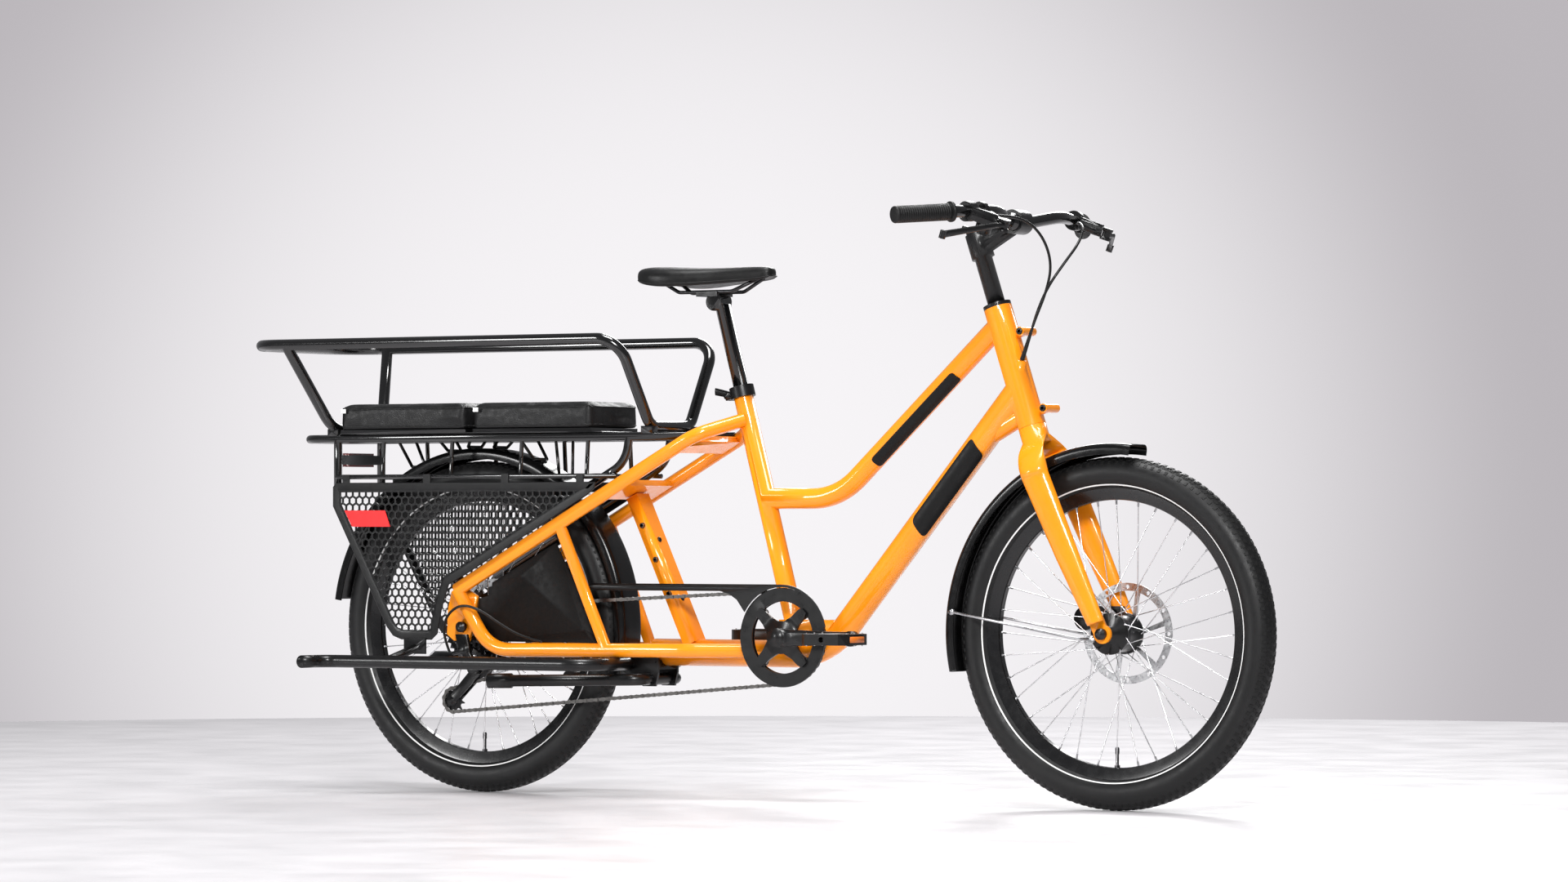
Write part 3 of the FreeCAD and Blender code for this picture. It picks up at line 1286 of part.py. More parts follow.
def make_cranks():
    """Both arms; the left one carries the spindle, the right one the chainring's spider."""
    inner = -v.chain_line - 9
    spider = [barrel(crank_axis, -60, inner, 30)]
    for bolt in ring_bolts():
        out = (bolt - crank_axis).normalize()
        across = Vector(-out.z, 0, out.x)
        flare = [crank_axis + out * x + across * z
                 for x, z in ((20, -18), (44, -11), (62, -10), (70, -6), (70, 6), (62, 10),
                              (44, 11), (20, 18))]
        spider.append(plate_solid([(spot.x, spot.z) for spot in flare], inner - 5, 5))
    right = fused(crank_arm(RIGHT) + spider)
    right = right.cut(barrel(crank_axis, -72, 0, 9.5 + v.running_gap))
    feature("crank_right", right)
    left = fused(crank_arm(LEFT) + [barrel(crank_axis, -70, 60, 9.5)])
    feature("crank_left", left)


def make_pedal(label, side):
    """Flat pedal: a ribbed body with two windows, turning on the crank arm's pin."""
    near = v.crank_offset + v.crank_thickness + 6
    place = crank_axis + Vector(-side * v.crank_length, side * (near + v.pedal_width / 2), 0)
    body = new_body(label, Placement(place, Rotation()))
    half_long, half_wide = "Sizes.pedal_length / 2", "Sizes.pedal_width / 2"
    pad(body, outline(body, "XY_Plane", [
        ("-(%s)" % half_long, "-(%s - 12)" % half_wide),
        ("-(%s - 12)" % half_long, "-(%s)" % half_wide),
        ("%s - 12" % half_long, "-(%s)" % half_wide), (half_long, "-(%s - 12)" % half_wide),
        (half_long, "%s - 12" % half_wide), ("%s - 12" % half_long, half_wide),
        ("-(%s - 12)" % half_long, half_wide), ("-(%s)" % half_long, "%s - 12" % half_wide)]),
        "Sizes.pedal_height", True)
    for low, high in (("-36", "-16"), ("16", "36")):
        pocket(body, outline(body, "XY_Plane", [(low, "-32"), (high, "-32"), (high, "32"),
                                                (low, "32")]))
    bore = circles(body, "XZ_Plane", [("0", "0", "5 + Sizes.running_gap")])
    cut = body.newObject("PartDesign::Pocket", label + "_bore")
    cut.Profile = bore
    cut.Type = "ThroughAll"
    cut.Midplane = True
    node(body, label)


def make_derailleur():
    """Hanger, parallelogram body and the sprung cage with its two pulleys."""
    y = -v.chain_line
    hanger = plate_solid([(-625, 300), (-600, 300), (-592, 268), (-604, 260), (-618, 268)],
                         -v.rear_spacing / 2 - 14, 8)
    knuckle = barrel(Vector(-604, 0, 272), -88, -68, 10)
    lower = barrel(guide_axle, y - 30, y - 9, 11)
    link = section_loft([oval(Vector(-603, -80, 268), X, Y, 13, 7),
                         oval(Vector(-597, y - 24, 240), X, Y, 13, 7)])
    body = fused([knuckle, lower, link, hanger])
    anchor = rod(Vector(-604, -84, 270), Vector(-627, -86, 264), 4)
    nut = barrel(rear_axle, -120, -60, 10 + v.running_gap)
    body = body.fuse(anchor).cut(nut).cut(right_triangle)
    feature("derailleur_body", max(body.Solids, key=lambda solid: solid.Volume))
    plates = []
    for face in (y - 7.6, y + 5.6):
        ends = [barrel(guide_axle, face, face + 2, 13), barrel(tension_axle, face, face + 2, 11)]
        along = (tension_axle - guide_axle).normalize()
        side = Vector(-along.z, 0, along.x)
        corners = [guide_axle + side * 11, tension_axle + side * 9, tension_axle - side * 9,
                   guide_axle - side * 11]
        ends.append(plate_solid([(spot.x, spot.z) for spot in corners], face, 2))
        plates.append(fused(ends))
    pins = [barrel(guide_axle, y - 8.6, y + 7.6, 3), barrel(tension_axle, y - 8.6, y + 7.6, 3)]
    feature("derailleur_cage", fused(plates + pins))
    for label, stop, centre in (("tension_pulley", 1, tension_axle),
                                ("guide_pulley", 2, guide_axle)):
        wheel = sprocket(centre, v.pulley_teeth, roller_phase(stop), y)
        wheel = wheel.fuse(barrel(centre, y - 5, y + 5, 8))
        feature(label, wheel.cut(barrel(centre, y - 8, y + 8, 3 + v.running_gap)))


def make_chain_guard():
    """Flat guard over the upper run, curved round the ring, on one lug and one bracket."""
    low, rear, reach = 385, -336, 97
    face = -v.chain_line - 13

    def arc(first, last, radius, count):
        step = math.radians(last - first) / count
        turns = [math.radians(first) + step * k for k in range(count + 1)]
        return [(crank_axis.x + radius * math.cos(turn), crank_axis.z + radius * math.sin(turn))
                for turn in turns]

    top = crank_axis.z + reach
    corners = arc(12, 90, reach, 9) + [(rear, top), (rear, low), (-46, low), (-26, low - 5),
                                       (-9, low - 16)]
    corners += arc(150, 12, reach - 5, 16)
    guard = plate_solid(corners, face, 2)
    lug = barrel(Vector(58, 0, top - 3.4), face + 1, -10, 3)
    bracket = barrel(Vector(-328, 0, top - 7), -82, face + 1, 4)
    solid = fused([guard, lug, bracket]).cut(front_envelope).cut(right_triangle)
    feature("chain_guard", max(solid.Solids, key=lambda piece: piece.Volume))


make_chain()
make_cassette()
make_chainring()
make_cranks()
make_pedal("pedal_right", RIGHT)
make_pedal("pedal_left", LEFT)
make_derailleur()
make_chain_guard()


# ---------------------------------------------------------------- saddle and seatpost

post_top = on_seat(v.seat_tube_length + v.seatpost_height)


def make_seatpost():
    """Straight post with the clamp head that grips the saddle's rails."""
    post = rod(on_seat(v.seat_tube_length - v.seatpost_insert), post_top, v.seatpost_radius)
    head = barrel(post_top + Vector(-9, 0, 8), -18, 18, 17)
    jaw = Part.makeBox(46, 54, 9, post_top + Vector(-42, -27, 17.5))
    solid = fused([post, head, jaw])
    for side in (RIGHT, LEFT):
        solid = solid.cut(rod(post_top + Vector(-70, side * 21, 26),
                              post_top + Vector(60, side * 21, 26), 3.5))
    feature("seatpost", solid)


# Saddle sections: distance ahead of the post's top, half width, lower edge and crown above it.
SADDLE = [(-170, 22, 54, 68), (-161, 46, 46, 72.5), (-138, 65, 38, 74.5), (-98, 74, 32, 73.5),
          (-43, 60, 34, 70.5), (7, 38, 38, 69.5), (57, 25, 41, 70.5), (97, 19, 45, 70.5),
          (115, 12, 51, 67.5)]
SADDLE_SECTION = [(-1, 0.3), (-0.95, 0.62), (-0.8, 0.86), (-0.45, 0.98), (0, 0.97), (0.45, 0.98),
                  (0.8, 0.86), (0.95, 0.62), (1, 0.3), (0.97, 0), (0.8, 0.14), (-0.8, 0.14),
                  (-0.97, 0)]


def make_saddle():
    """Saddle rails, and the padded shell lofted from tail to nose."""
    rail = tube([post_top + Vector(*spot) for spot in
                 ((-111, -30, 44), (-83, -21, 26), (33, -21, 26), (85, -8, 50))], [14, 22], 3.5)
    feature("saddle_rails", rail, mirrored(rail))
    rings = [[post_top + Vector(x, half * y, low + (high - low) * z) for y, z in SADDLE_SECTION]
             for x, half, low, high in SADDLE]
    saddle = section_loft(rings)
    saddle = saddle.cut(Part.makeCompound([rail, mirrored(rail)]))
    feature("saddle", max(saddle.Solids, key=lambda piece: piece.Volume))


def make_seat_lever():
    """Quick-release lever of the seat collar, lying along its left side."""
    pin = lever_pin()
    hub = barrel(pin, 13, 21, 7)
    arm = section_loft([oval(pin + Vector(-4, 17, 2), Y, Z, 4, 6),
                        oval(pin + Vector(-46, 21, 10), Y, Z, 2.5, 7)])
    feature("seat_lever", fused([hub, arm]).cut(barrel(pin, 0, 40, 2.5 + v.running_gap)))


# ---------------------------------------------------------------- cables

def cord(label, spots, radius):
    """A cable through hand-placed points, its runs joined by tangent arcs."""
    points = [Vector(*spot) for spot in spots]
    bends = []
    for before, corner, after in zip(points, points[1:], points[2:]):
        half = (corner - before).getAngle(after - corner) / 2
        shorter = min((corner - before).Length, (after - corner).Length)
        bends.append(0.45 * shorter / math.tan(half))
    print(label, "bend radii", [round(bend, 1) for bend in bends])
    feature(label, tube(points, bends, radius))


RIGHT_HOSE = [(588.9, -152.4, 1053), (603, -114, 1055), (621, -74, 1044), (633, -42, 1012),
              (637, -26, 968), (622, -20, 922), (602, -21, 878), (584, -20, 836), (569.8, -19.2, 801.9)]
LEFT_HOSE = [(588.9, 152.4, 1053), (611, 122, 1053), (637, 90, 1040), (648, 54, 1012),
             (632, 26, 974), (610, 6, 932), (595, -7, 886), (583, -12, 840), (569.8, -11.8, 801.9)]
GEAR_CABLE = [(-428, -80, 288.6), (-470, -85, 297), (-510, -97, 320), (-550, -103, 346),
              (-594, -105, 358), (-630, -102, 338), (-646, -95, 302), (-634, -87, 266)]

make_seatpost()
make_saddle()
make_seat_lever()
cord("cable_right", RIGHT_HOSE, 2.5)
cord("cable_left", LEFT_HOSE, 2.5)
cord("derailleur_cable", GEAR_CABLE, 2.5)
# ---------------------------------------------------------------- export

def export_nodes():
    """Check every node and write one STEP file for each."""
    doc.recompute()
    for item in doc.Objects:
        bad = [word for word in item.State if word in ("Invalid", "Error")]
        if bad:
            raise RuntimeError("%s did not build" % item.Label)
    for item in nodes:
        if item.Shape.isNull() or not item.Shape.isValid():
            raise RuntimeError("%s has no valid shape" % item.Label)
        item.Shape.exportStep("parts/%s.step" % item.Label)


export_nodes()
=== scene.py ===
# %% [markdown]
# # Dressing a cargo bicycle
# The solids come from CAD and set every size and every place. This lesson gives them their looks:
# smooth shading, paint, rubber, spokes, chain links, honeycomb guards and soft pads.
# Everything is in metres, with +X forward, +Y to the rider's left and +Z up.

import json
import math
from contextlib import contextmanager

import bmesh
import bpy
from mathutils import Matrix, Vector
from mathutils.bvhtree import BVHTree

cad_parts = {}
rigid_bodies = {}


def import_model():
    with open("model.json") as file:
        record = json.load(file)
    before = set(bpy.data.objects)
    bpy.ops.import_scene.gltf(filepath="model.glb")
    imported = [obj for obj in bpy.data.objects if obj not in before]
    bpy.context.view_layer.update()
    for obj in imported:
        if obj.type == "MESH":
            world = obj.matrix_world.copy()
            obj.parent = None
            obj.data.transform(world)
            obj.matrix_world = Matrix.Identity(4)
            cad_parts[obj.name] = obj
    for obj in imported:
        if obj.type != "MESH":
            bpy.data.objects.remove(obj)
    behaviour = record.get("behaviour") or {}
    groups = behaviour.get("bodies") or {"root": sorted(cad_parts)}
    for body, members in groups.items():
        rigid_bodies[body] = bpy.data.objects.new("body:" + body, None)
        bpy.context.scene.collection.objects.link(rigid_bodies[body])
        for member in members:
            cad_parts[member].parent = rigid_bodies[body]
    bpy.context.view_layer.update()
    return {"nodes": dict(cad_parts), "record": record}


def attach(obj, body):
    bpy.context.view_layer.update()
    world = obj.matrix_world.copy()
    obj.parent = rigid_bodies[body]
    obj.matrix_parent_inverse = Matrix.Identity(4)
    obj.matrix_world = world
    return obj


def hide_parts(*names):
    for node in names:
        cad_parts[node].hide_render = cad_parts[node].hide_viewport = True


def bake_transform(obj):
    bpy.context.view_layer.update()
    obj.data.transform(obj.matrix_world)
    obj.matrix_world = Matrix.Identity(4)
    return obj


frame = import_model()
BODY_OF = {name: body for body, names in frame["record"]["behaviour"]["bodies"].items()
           for name in names}

# %% [markdown]
# ## Materials
# Real finishes are never one flat colour. Each one here starts from a shader and gets a little
# noise in its colour, roughness and bump, at the scale of the real finish. A small helper adds
# such noise, so that each material stays a short function of its own.

# %% Material helpers
MATERIALS = {}


def new_material(name, colour, roughness, metallic=0.0, coat=0.0, coat_roughness=0.1,
                 specular=0.5):
    """A Principled material whose uniform numbers sit on the shader's own sockets."""
    made = bpy.data.materials.new(name)
    made.use_nodes = True
    shader = made.node_tree.nodes["Principled BSDF"]
    for socket, value in (("Base Color", (*colour, 1)), ("Roughness", roughness),
                          ("Metallic", metallic), ("Coat Weight", coat),
                          ("Coat Roughness", coat_roughness), ("Specular IOR Level", specular)):
        shader.inputs[socket].default_value = value
    MATERIALS[name] = made
    return made, shader


def add_node(tree, kind, feeds=(), **settings):
    """A node in a tree. Feeds link outputs to its inputs; settings are values or properties."""
    node = tree.nodes.new(kind)
    for key, value in settings.items():
        if key in node.inputs:
            node.inputs[key].default_value = value
        else:
            setattr(node, key, value)
    for socket, source in dict(feeds).items():
        tree.links.new(source, node.inputs[socket])
    return node


print("node helper ready")

# %% [markdown]
# Noise and cells are sampled in the piece's own space, so they keep their scale on every piece.
# A ramp turns such a value into a colour or a roughness, and a bump node turns it into relief.

# %% Texture helpers
def texture(material, kind, **settings):
    """A texture in the piece's own space; its scale is in cells to a metre."""
    place = add_node(material.node_tree, "ShaderNodeTexCoord").outputs["Object"]
    return add_node(material.node_tree, kind, {"Vector": place}, **settings)


def noise(material, scale, detail=4.0, roughness=0.55):
    return texture(material, "ShaderNodeTexNoise", Scale=scale, Detail=detail,
                   Roughness=roughness).outputs["Fac"]


def cells(material, scale):
    """Distance to the nearest point of a cell pattern."""
    return texture(material, "ShaderNodeTexVoronoi", Scale=scale).outputs["Distance"]


def tinted(colour, factor):
    return tuple(min(1.0, channel * factor) for channel in colour)


def feed(material, shader, socket, source, stops):
    """Drives a socket of the shader by a value through a ramp of (place, colour) stops."""
    node = add_node(material.node_tree, "ShaderNodeValToRGB", {"Fac": source})
    for element, (place, colour) in zip(node.color_ramp.elements, stops):
        element.position = place
        element.color = (*colour, 1)
    material.node_tree.links.new(node.outputs["Color"], shader.inputs[socket])


def bump(material, shader, height, strength, distance):
    """A fine relief: distance is its depth in metres."""
    node = add_node(material.node_tree, "ShaderNodeBump", {"Height": height}, Strength=strength,
                    Distance=distance)
    material.node_tree.links.new(node.outputs["Normal"], shader.inputs["Normal"])


def vary(material, shader, colour, scale, low, high, roughness):
    """Slow changes of colour and of roughness over the surface."""
    feed(material, shader, "Base Color", noise(material, scale),
         [(0.3, tinted(colour, low)), (0.7, tinted(colour, high))])
    feed(material, shader, "Roughness", noise(material, scale * 7),
         [(0.35, (roughness * 0.85,) * 3), (0.65, (roughness * 1.15,) * 3)])


print("texture helpers ready")

# %% [markdown]
# ### Paints
# The frame is powder coated in a warm orange and then lacquered, so it gets a clear coat over a
# very fine orange-peel relief. The rack and the cockpit are black: gloss on the passenger rail,
# satin elsewhere.

# %% Paints
def paint(name, colour, roughness, coat, peel, specular=0.4):
    made, shader = new_material(name, colour, roughness, coat=coat, coat_roughness=0.05,
                                specular=specular)
    vary(made, shader, colour, 9, 0.93, 1.05, roughness)
    bump(made, shader, noise(made, 400, 1), peel, 0.0002)


paint("orange_paint", (1.0, 0.295, 0.004), 0.4, 0.75, 0.015, 0.2)
paint("gloss_black", (0.003, 0.003, 0.0032), 0.16, 0.7, 0.03)
paint("rim_black", (0.004, 0.004, 0.0045), 0.26, 0.2, 0.04)
paint("satin_black", (0.004, 0.004, 0.0042), 0.32, 0.1, 0.06, 0.35)
paint("black_patch", (0.003, 0.003, 0.003), 0.5, 0.0, 0.08, 0.25)
print("paints made")

# %% [markdown]
# ### Plastics, rubber and cover
# Moulded plastic has a fine pebbled grain, from the distance to the nearest cell of a pattern.
# Tyre rubber is duller. The pads and the saddle have a cover with a leather-like, coarser grain.

# %% Plastics, rubber and cover
DARK, DARKER = (0.004, 0.004, 0.0042), (0.004, 0.004, 0.004)


def grained(name, colour, roughness, scale, depth, strength=0.3):
    made, shader = new_material(name, colour, roughness, specular=0.32)
    vary(made, shader, colour, 14, 0.8, 1.25, roughness)
    bump(made, shader, cells(made, scale), strength, depth)


grained("black_plastic", DARK, 0.38, 1100, 0.0003)
grained("panel_matte", (0.003, 0.003, 0.003), 0.7, 800, 0.0002, 0.2)
grained("guard_plastic", DARK, 0.34, 900, 0.0003)
grained("guard_border", DARK, 0.34, 1000, 0.0002)
grained("fender_black", (0.003, 0.003, 0.0032), 0.2, 1400, 0.0001, 0.2)
grained("tyre_rubber", (0.005, 0.005, 0.0052), 0.46, 700, 0.0004)
grained("tread_rubber", DARKER, 0.6, 900, 0.0003)
grained("grip_rubber", DARKER, 0.5, 1300, 0.0004)
grained("cable_jacket", DARKER, 0.35, 1500, 0.0001)
grained("pad_cover", DARK, 0.48, 420, 0.0005, 0.4)
grained("saddle_cover", DARKER, 0.4, 600, 0.0004, 0.35)
print("plastics made")

# %% [markdown]
# ### Metals
# Bare metal shows where the bicycle turns and brakes: spokes, discs, chain, axles and bolts. One
# cloud of noise moves colour, roughness and relief together, as wear does.

# %% Metals
def metal(name, colour, roughness, scale=60):
    made, shader = new_material(name, colour, roughness, metallic=1.0)
    cloud = noise(made, scale, 3.0, 0.5)
    feed(made, shader, "Base Color", cloud,
         [(0.3, tinted(colour, 0.85)), (0.7, tinted(colour, 1.1))])
    feed(made, shader, "Roughness", cloud,
         [(0.3, (roughness * 0.8,) * 3), (0.7, (roughness * 1.2,) * 3)])
    bump(made, shader, cloud, 0.05, 0.0002)


metal("spoke_steel", (0.72, 0.72, 0.73), 0.22)
metal("disc_steel", (0.62, 0.62, 0.63), 0.3, 220)
metal("chain_steel", (0.13, 0.125, 0.12), 0.36, 150)
metal("bolt_steel", (0.45, 0.45, 0.46), 0.3)
metal("dark_steel", (0.05, 0.05, 0.052), 0.35)
print("metals made")

# %% [markdown]
# ### Lens, reflectors and tags
# The lamp's lens has a pattern of deep cells under a clear coat. Reflectors and tags are smooth
# plastic with a very fine grain.

# %% Lens, reflectors and tags
def lamp_lens(name, colour, roughness):
    made, shader = new_material(name, colour, roughness, coat=1.0)
    vary(made, shader, colour, 30, 0.8, 1.2, roughness)
    bump(made, shader, cells(made, 260), 0.6, 0.001)


def reflective(name, colour, roughness=0.35):
    made, shader = new_material(name, colour, roughness)
    vary(made, shader, colour, 40, 0.92, 1.04, roughness)
    bump(made, shader, noise(made, 1500, 2), 0.15, 0.0002)


lamp_lens("lamp_lens", (0.16, 0.004, 0.004), 0.12)
reflective("reflective_white", (0.78, 0.78, 0.77))
reflective("amber_reflector", (0.65, 0.16, 0.01))
reflective("red_tag", (0.86, 0.012, 0.014))
print(len(MATERIALS), "materials made")

# %% [markdown]
# ## Pieces and meshes
# A piece is a named object that rides on a body. It may be made of several small meshes, and edges
# sharper than a given angle stay hard while the rest is shaded smooth. Shapes are written in
# millimetres, as a drawing gives them, and are scaled to metres when their mesh is made.

# %% Pieces and meshes
MM = 0.001


@contextmanager
def editing(data):
    """A bmesh of the mesh, written back afterwards."""
    work = bmesh.new()
    work.from_mesh(data)
    yield work
    work.to_mesh(data)
    work.free()


def joined(name, meshes):
    """Several meshes as one."""
    work = bmesh.new()
    for data in meshes:
        work.from_mesh(data)
        bpy.data.meshes.remove(data)
    data = bpy.data.meshes.new(name)
    work.to_mesh(data)
    work.free()
    return data


def finish_mesh(data, angle=32):
    """Shades a mesh smooth, with hard edges past the angle."""
    data.shade_smooth()
    data.set_sharp_from_angle(angle=math.radians(angle))


def new_piece(name, data, material, body, stands_for=(), sharp=None):
    """A piece from a mesh or several. Without a body it is attached to none, as the floor is."""
    if isinstance(data, list):
        data = joined(name, data)
    if sharp:
        finish_mesh(data, sharp)
    piece = bpy.data.objects.new(name, data)
    bpy.context.scene.collection.objects.link(piece)
    if material:
        data.materials.clear()
        data.materials.append(MATERIALS[material])
    if body:
        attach(piece, body)
    if stands_for:
        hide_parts(*stands_for)
    return piece


def mesh_from(name, spots, faces):
    """A mesh from points in millimetres, welded, with its faces turned outward."""
    data = bpy.data.meshes.new(name)
    data.from_pydata([Vector(spot) * MM for spot in spots], [], faces)
    with editing(data) as work:
        bmesh.ops.remove_doubles(work, verts=work.verts, dist=0.000002)
        bmesh.ops.recalc_face_normals(work, faces=work.faces)
    return data


def mesh_of(helper):
    """The mesh that an object shows now, modifiers included."""
    bpy.context.view_layer.update()
    seen = helper.evaluated_get(bpy.context.evaluated_depsgraph_get())
    return bpy.data.meshes.new_from_object(seen)


def discard(*helpers):
    """Removes helper objects with their data."""
    for helper in helpers:
        bpy.data.batch_remove([helper, helper.data])


print("piece helpers ready")

# %% [markdown]
# ## Carrying CAD pieces over
# A CAD mesh comes as loose triangles with flat shading. A copy is welded, shaded smooth and given
# hard edges where two faces meet at a real corner. The copy stands for the CAD node.

# %% Pieces from CAD
FINISH = {
    "orange_paint": ["main_frame", "centre_strut", "rear_triangle_right", "rear_triangle_left",
                     "fork"],
    "gloss_black": ["passenger_rail", "handlebar", "rack_frame", "seatpost"],
    "satin_black": ["bearing_cups", "seat_collar", "rear_caliper", "front_caliper", "footrests",
                    "stand_bracket", "derailleur_body", "stem", "lever_perches",
                    "brake_lever_right", "brake_lever_left", "front_hub", "rear_hub",
                    "crank_right", "crank_left", "chainring", "derailleur_cage", "centre_stand",
                    "seat_lever"],
    "black_plastic": ["chain_guard", "shift_lever", "pedal_right", "pedal_left",
                      "guide_pulley", "tension_pulley"],
    "bolt_steel": ["front_fender_stays"],
    "disc_steel": ["front_rotor", "rear_rotor"],
    "dark_steel": ["cassette", "saddle_rails", "rear_axle", "front_axle"],
    "panel_matte": ["side_panels"],
    "lamp_lens": ["rear_light"],
}


def carry_over(node_name, material):
    """A welded and smoothly shaded copy of a CAD node."""
    source = frame["nodes"][node_name]
    data = source.data.copy()
    data.transform(source.matrix_world)
    with editing(data) as work:
        bmesh.ops.remove_doubles(work, verts=work.verts, dist=0.000004)
    new_piece(node_name + "_finished", data, material, BODY_OF[node_name], [node_name], 32)


for material_name, node_names in FINISH.items():
    for node_name in node_names:
        carry_over(node_name, material_name)
print("carried over", sum(len(names) for names in FINISH.values()), "nodes")

# %% [markdown]
# ## Shapes made by code
# Most shapes are a skin through rings of points. A lathe's rings are one profile turned about a
# wheel's axle. A bar's rings are circles across a line of points.

# %% Lathe and bar
def lofted(name, rings, closed=False):
    """A skin through rings of points. The last ring joins the first, or both ends are capped."""
    count, total = len(rings[0]), len(rings)
    faces = []
    for k in range(total if closed else total - 1):
        near, far = k * count, (k + 1) % total * count
        faces += [(near + i, near + (i + 1) % count, far + (i + 1) % count, far + i)
                  for i in range(count)]
    if not closed:
        faces += [tuple(range(count)), tuple(range((total - 1) * count, total * count))]
    return mesh_from(name, [spot for ring in rings for spot in ring], faces)


def lathe(name, centre, profile, steps=160, first=0.0, sweep=360.0):
    """Turns a closed profile of (radius, y) about an axle along Y; angles rise from +X to +Z."""
    closed = sweep == 360.0
    rings = []
    for k in range(steps if closed else steps + 1):
        angle = math.radians(first + sweep * k / steps)
        rings.append([centre + Vector((radius * math.cos(angle), y, radius * math.sin(angle)))
                      for radius, y in profile])
    return lofted(name, rings, closed)


def frames_along(points):
    """A point and two cross directions at every point of a line."""
    frames = []
    side = None
    for k, point in enumerate(points):
        before, after = points[max(k - 1, 0)], points[min(k + 1, len(points) - 1)]
        heading = (after - before).normalized()
        guess = side or heading.orthogonal()
        side = (guess - heading * guess.dot(heading)).normalized()
        frames.append((point, side, heading.cross(side)))
    return frames


def bar(name, points, radii, sides=12):
    """A round bar along points, with a radius for each; its ends are closed."""
    turns = [2 * math.pi * i / sides for i in range(sides)]
    return lofted(name, [[point + side * (radius * math.cos(turn))
                          + other * (radius * math.sin(turn)) for turn in turns]
                         for (point, side, other), radius in zip(frames_along(points), radii)])


print("lathe and bar ready")

# %% [markdown]
# Profiles need arcs, and cables need a curve that passes smoothly by its points. A NURBS spline
# of order three does that, and a bevel makes it a tube.

# %% Arcs and curves
def arc_of(centre, radius, first, last, count):
    """Points (a, b) on an arc in a plane, from one angle to another, in degrees."""
    turns = [math.radians(first + (last - first) * k / count) for k in range(count + 1)]
    return [(centre[0] + radius * math.cos(turn), centre[1] + radius * math.sin(turn))
            for turn in turns]


def smooth_curve(name, spots, thickness, cyclic=False):
    """A helper object with one NURBS spline of order three over points in millimetres."""
    curve = bpy.data.curves.new(name, "CURVE")
    curve.dimensions = "3D"
    spline = curve.splines.new("NURBS")
    spline.points.add(len(spots) - 1)
    for point, spot in zip(spline.points, spots):
        point.co = (*(Vector(spot) * MM), 1)
    spline.order_u = 3
    spline.use_endpoint_u = not cyclic
    spline.use_cyclic_u = cyclic
    curve.resolution_u = 14
    curve.bevel_depth = thickness
    curve.bevel_resolution = 4
    curve.use_fill_caps = not cyclic
    helper = bpy.data.objects.new(name, curve)
    bpy.context.scene.collection.objects.link(helper)
    return helper


print("arcs and curves ready")

# %% [markdown]
# ## Repeats made by nodes
# Spokes, nipples and tread blocks repeat round an axle, links repeat along the chain, and windows
# repeat over the guards. One Geometry Nodes tree serves all of them: it sets a copy of a shape at
# each point of a helper, turns it about Y by the point's own angle and makes the copies real.
# The result becomes a plain mesh, so no tree stays on a finished piece.

# %% Scatter tree
def make_scatter_tree():
    """Copies of a shape at points, each turned by the point's angle."""
    tree = bpy.data.node_groups.new("scatter", "GeometryNodeTree")
    for name, way, kind in (("Geometry", "INPUT", "Geometry"), ("Shape", "INPUT", "Object"),
                            ("Geometry", "OUTPUT", "Geometry")):
        tree.interface.new_socket(name, in_out=way, socket_type="NodeSocket" + kind)
    given = tree.nodes.new("NodeGroupInput").outputs
    angle = add_node(tree, "GeometryNodeInputNamedAttribute", data_type="FLOAT", Name="turn")
    turn = add_node(tree, "ShaderNodeCombineXYZ", {"Y": angle.outputs["Attribute"]})
    rotation = add_node(tree, "FunctionNodeEulerToRotation", {0: turn.outputs[0]})
    shape = add_node(tree, "GeometryNodeObjectInfo", {"Object": given["Shape"]})
    copies = add_node(tree, "GeometryNodeInstanceOnPoints", {
        "Points": given["Geometry"], "Instance": shape.outputs["Geometry"],
        "Rotation": rotation.outputs[0]})
    real = add_node(tree, "GeometryNodeRealizeInstances", {0: copies.outputs[0]})
    add_node(tree, "NodeGroupOutput", {0: real.outputs[0]})
    return tree


SCATTER = make_scatter_tree()
SHAPE_INPUT = SCATTER.interface.items_tree["Shape"].identifier


def scattered(shape, spots, turns):
    """One mesh of copies of a shape, which is used up, at spots and with turns."""
    seed = bpy.data.meshes.new("spots")
    seed.from_pydata([Vector(spot) * MM for spot in spots], [], [])
    seed.attributes.new("turn", "FLOAT", "POINT").data.foreach_set("value", turns)
    stamp = bpy.data.objects.new("shape", shape)
    helper = bpy.data.objects.new("spots", seed)
    bpy.context.scene.collection.objects.link(helper)
    modifier = helper.modifiers.new("scatter", "NODES")
    modifier.node_group = SCATTER
    modifier[SHAPE_INPUT] = stamp
    data = mesh_of(helper)
    discard(helper, stamp)
    return data


def ringed(shape, centre, count):
    """A shape made about the origin, copied round an axle along Y."""
    return scattered(shape, [centre] * count, [2 * math.pi * k / count for k in range(count)])


print("ready to scatter")

# %% [markdown]
# ## Wheels
# Tyre, rim and reflective line are lathe work, because they are round about the axle. The tyre's
# section is a round casing that narrows to its beads inside the rim.

# %% Tyres and rims
WHEELS = {"front": Vector((755, 0, 314)), "rear": Vector((-614, 0, 314))}
CASING = 284.0
CASING_RADIUS = 28.9
TYRE = ([(254.6, -11.0), (259.2, -14.6)] + arc_of((CASING, 0), CASING_RADIUS, -128, 128, 36)
        + [(259.2, 14.6), (254.6, 11.0)])
RIM_HALF = [(237.3, 5.5), (238.6, 7.6), (249, 11.6), (256.5, 14.2), (258.6, 14.8), (258.9, 13.6),
            (254.5, 11.3), (252.5, 8)]
RIM = [(radius, -y) for radius, y in RIM_HALF] + RIM_HALF[::-1]
LINE = [(263.2, 21.6), (265.2, 22.7), (265.4, 23.4), (263.1, 22.2)]

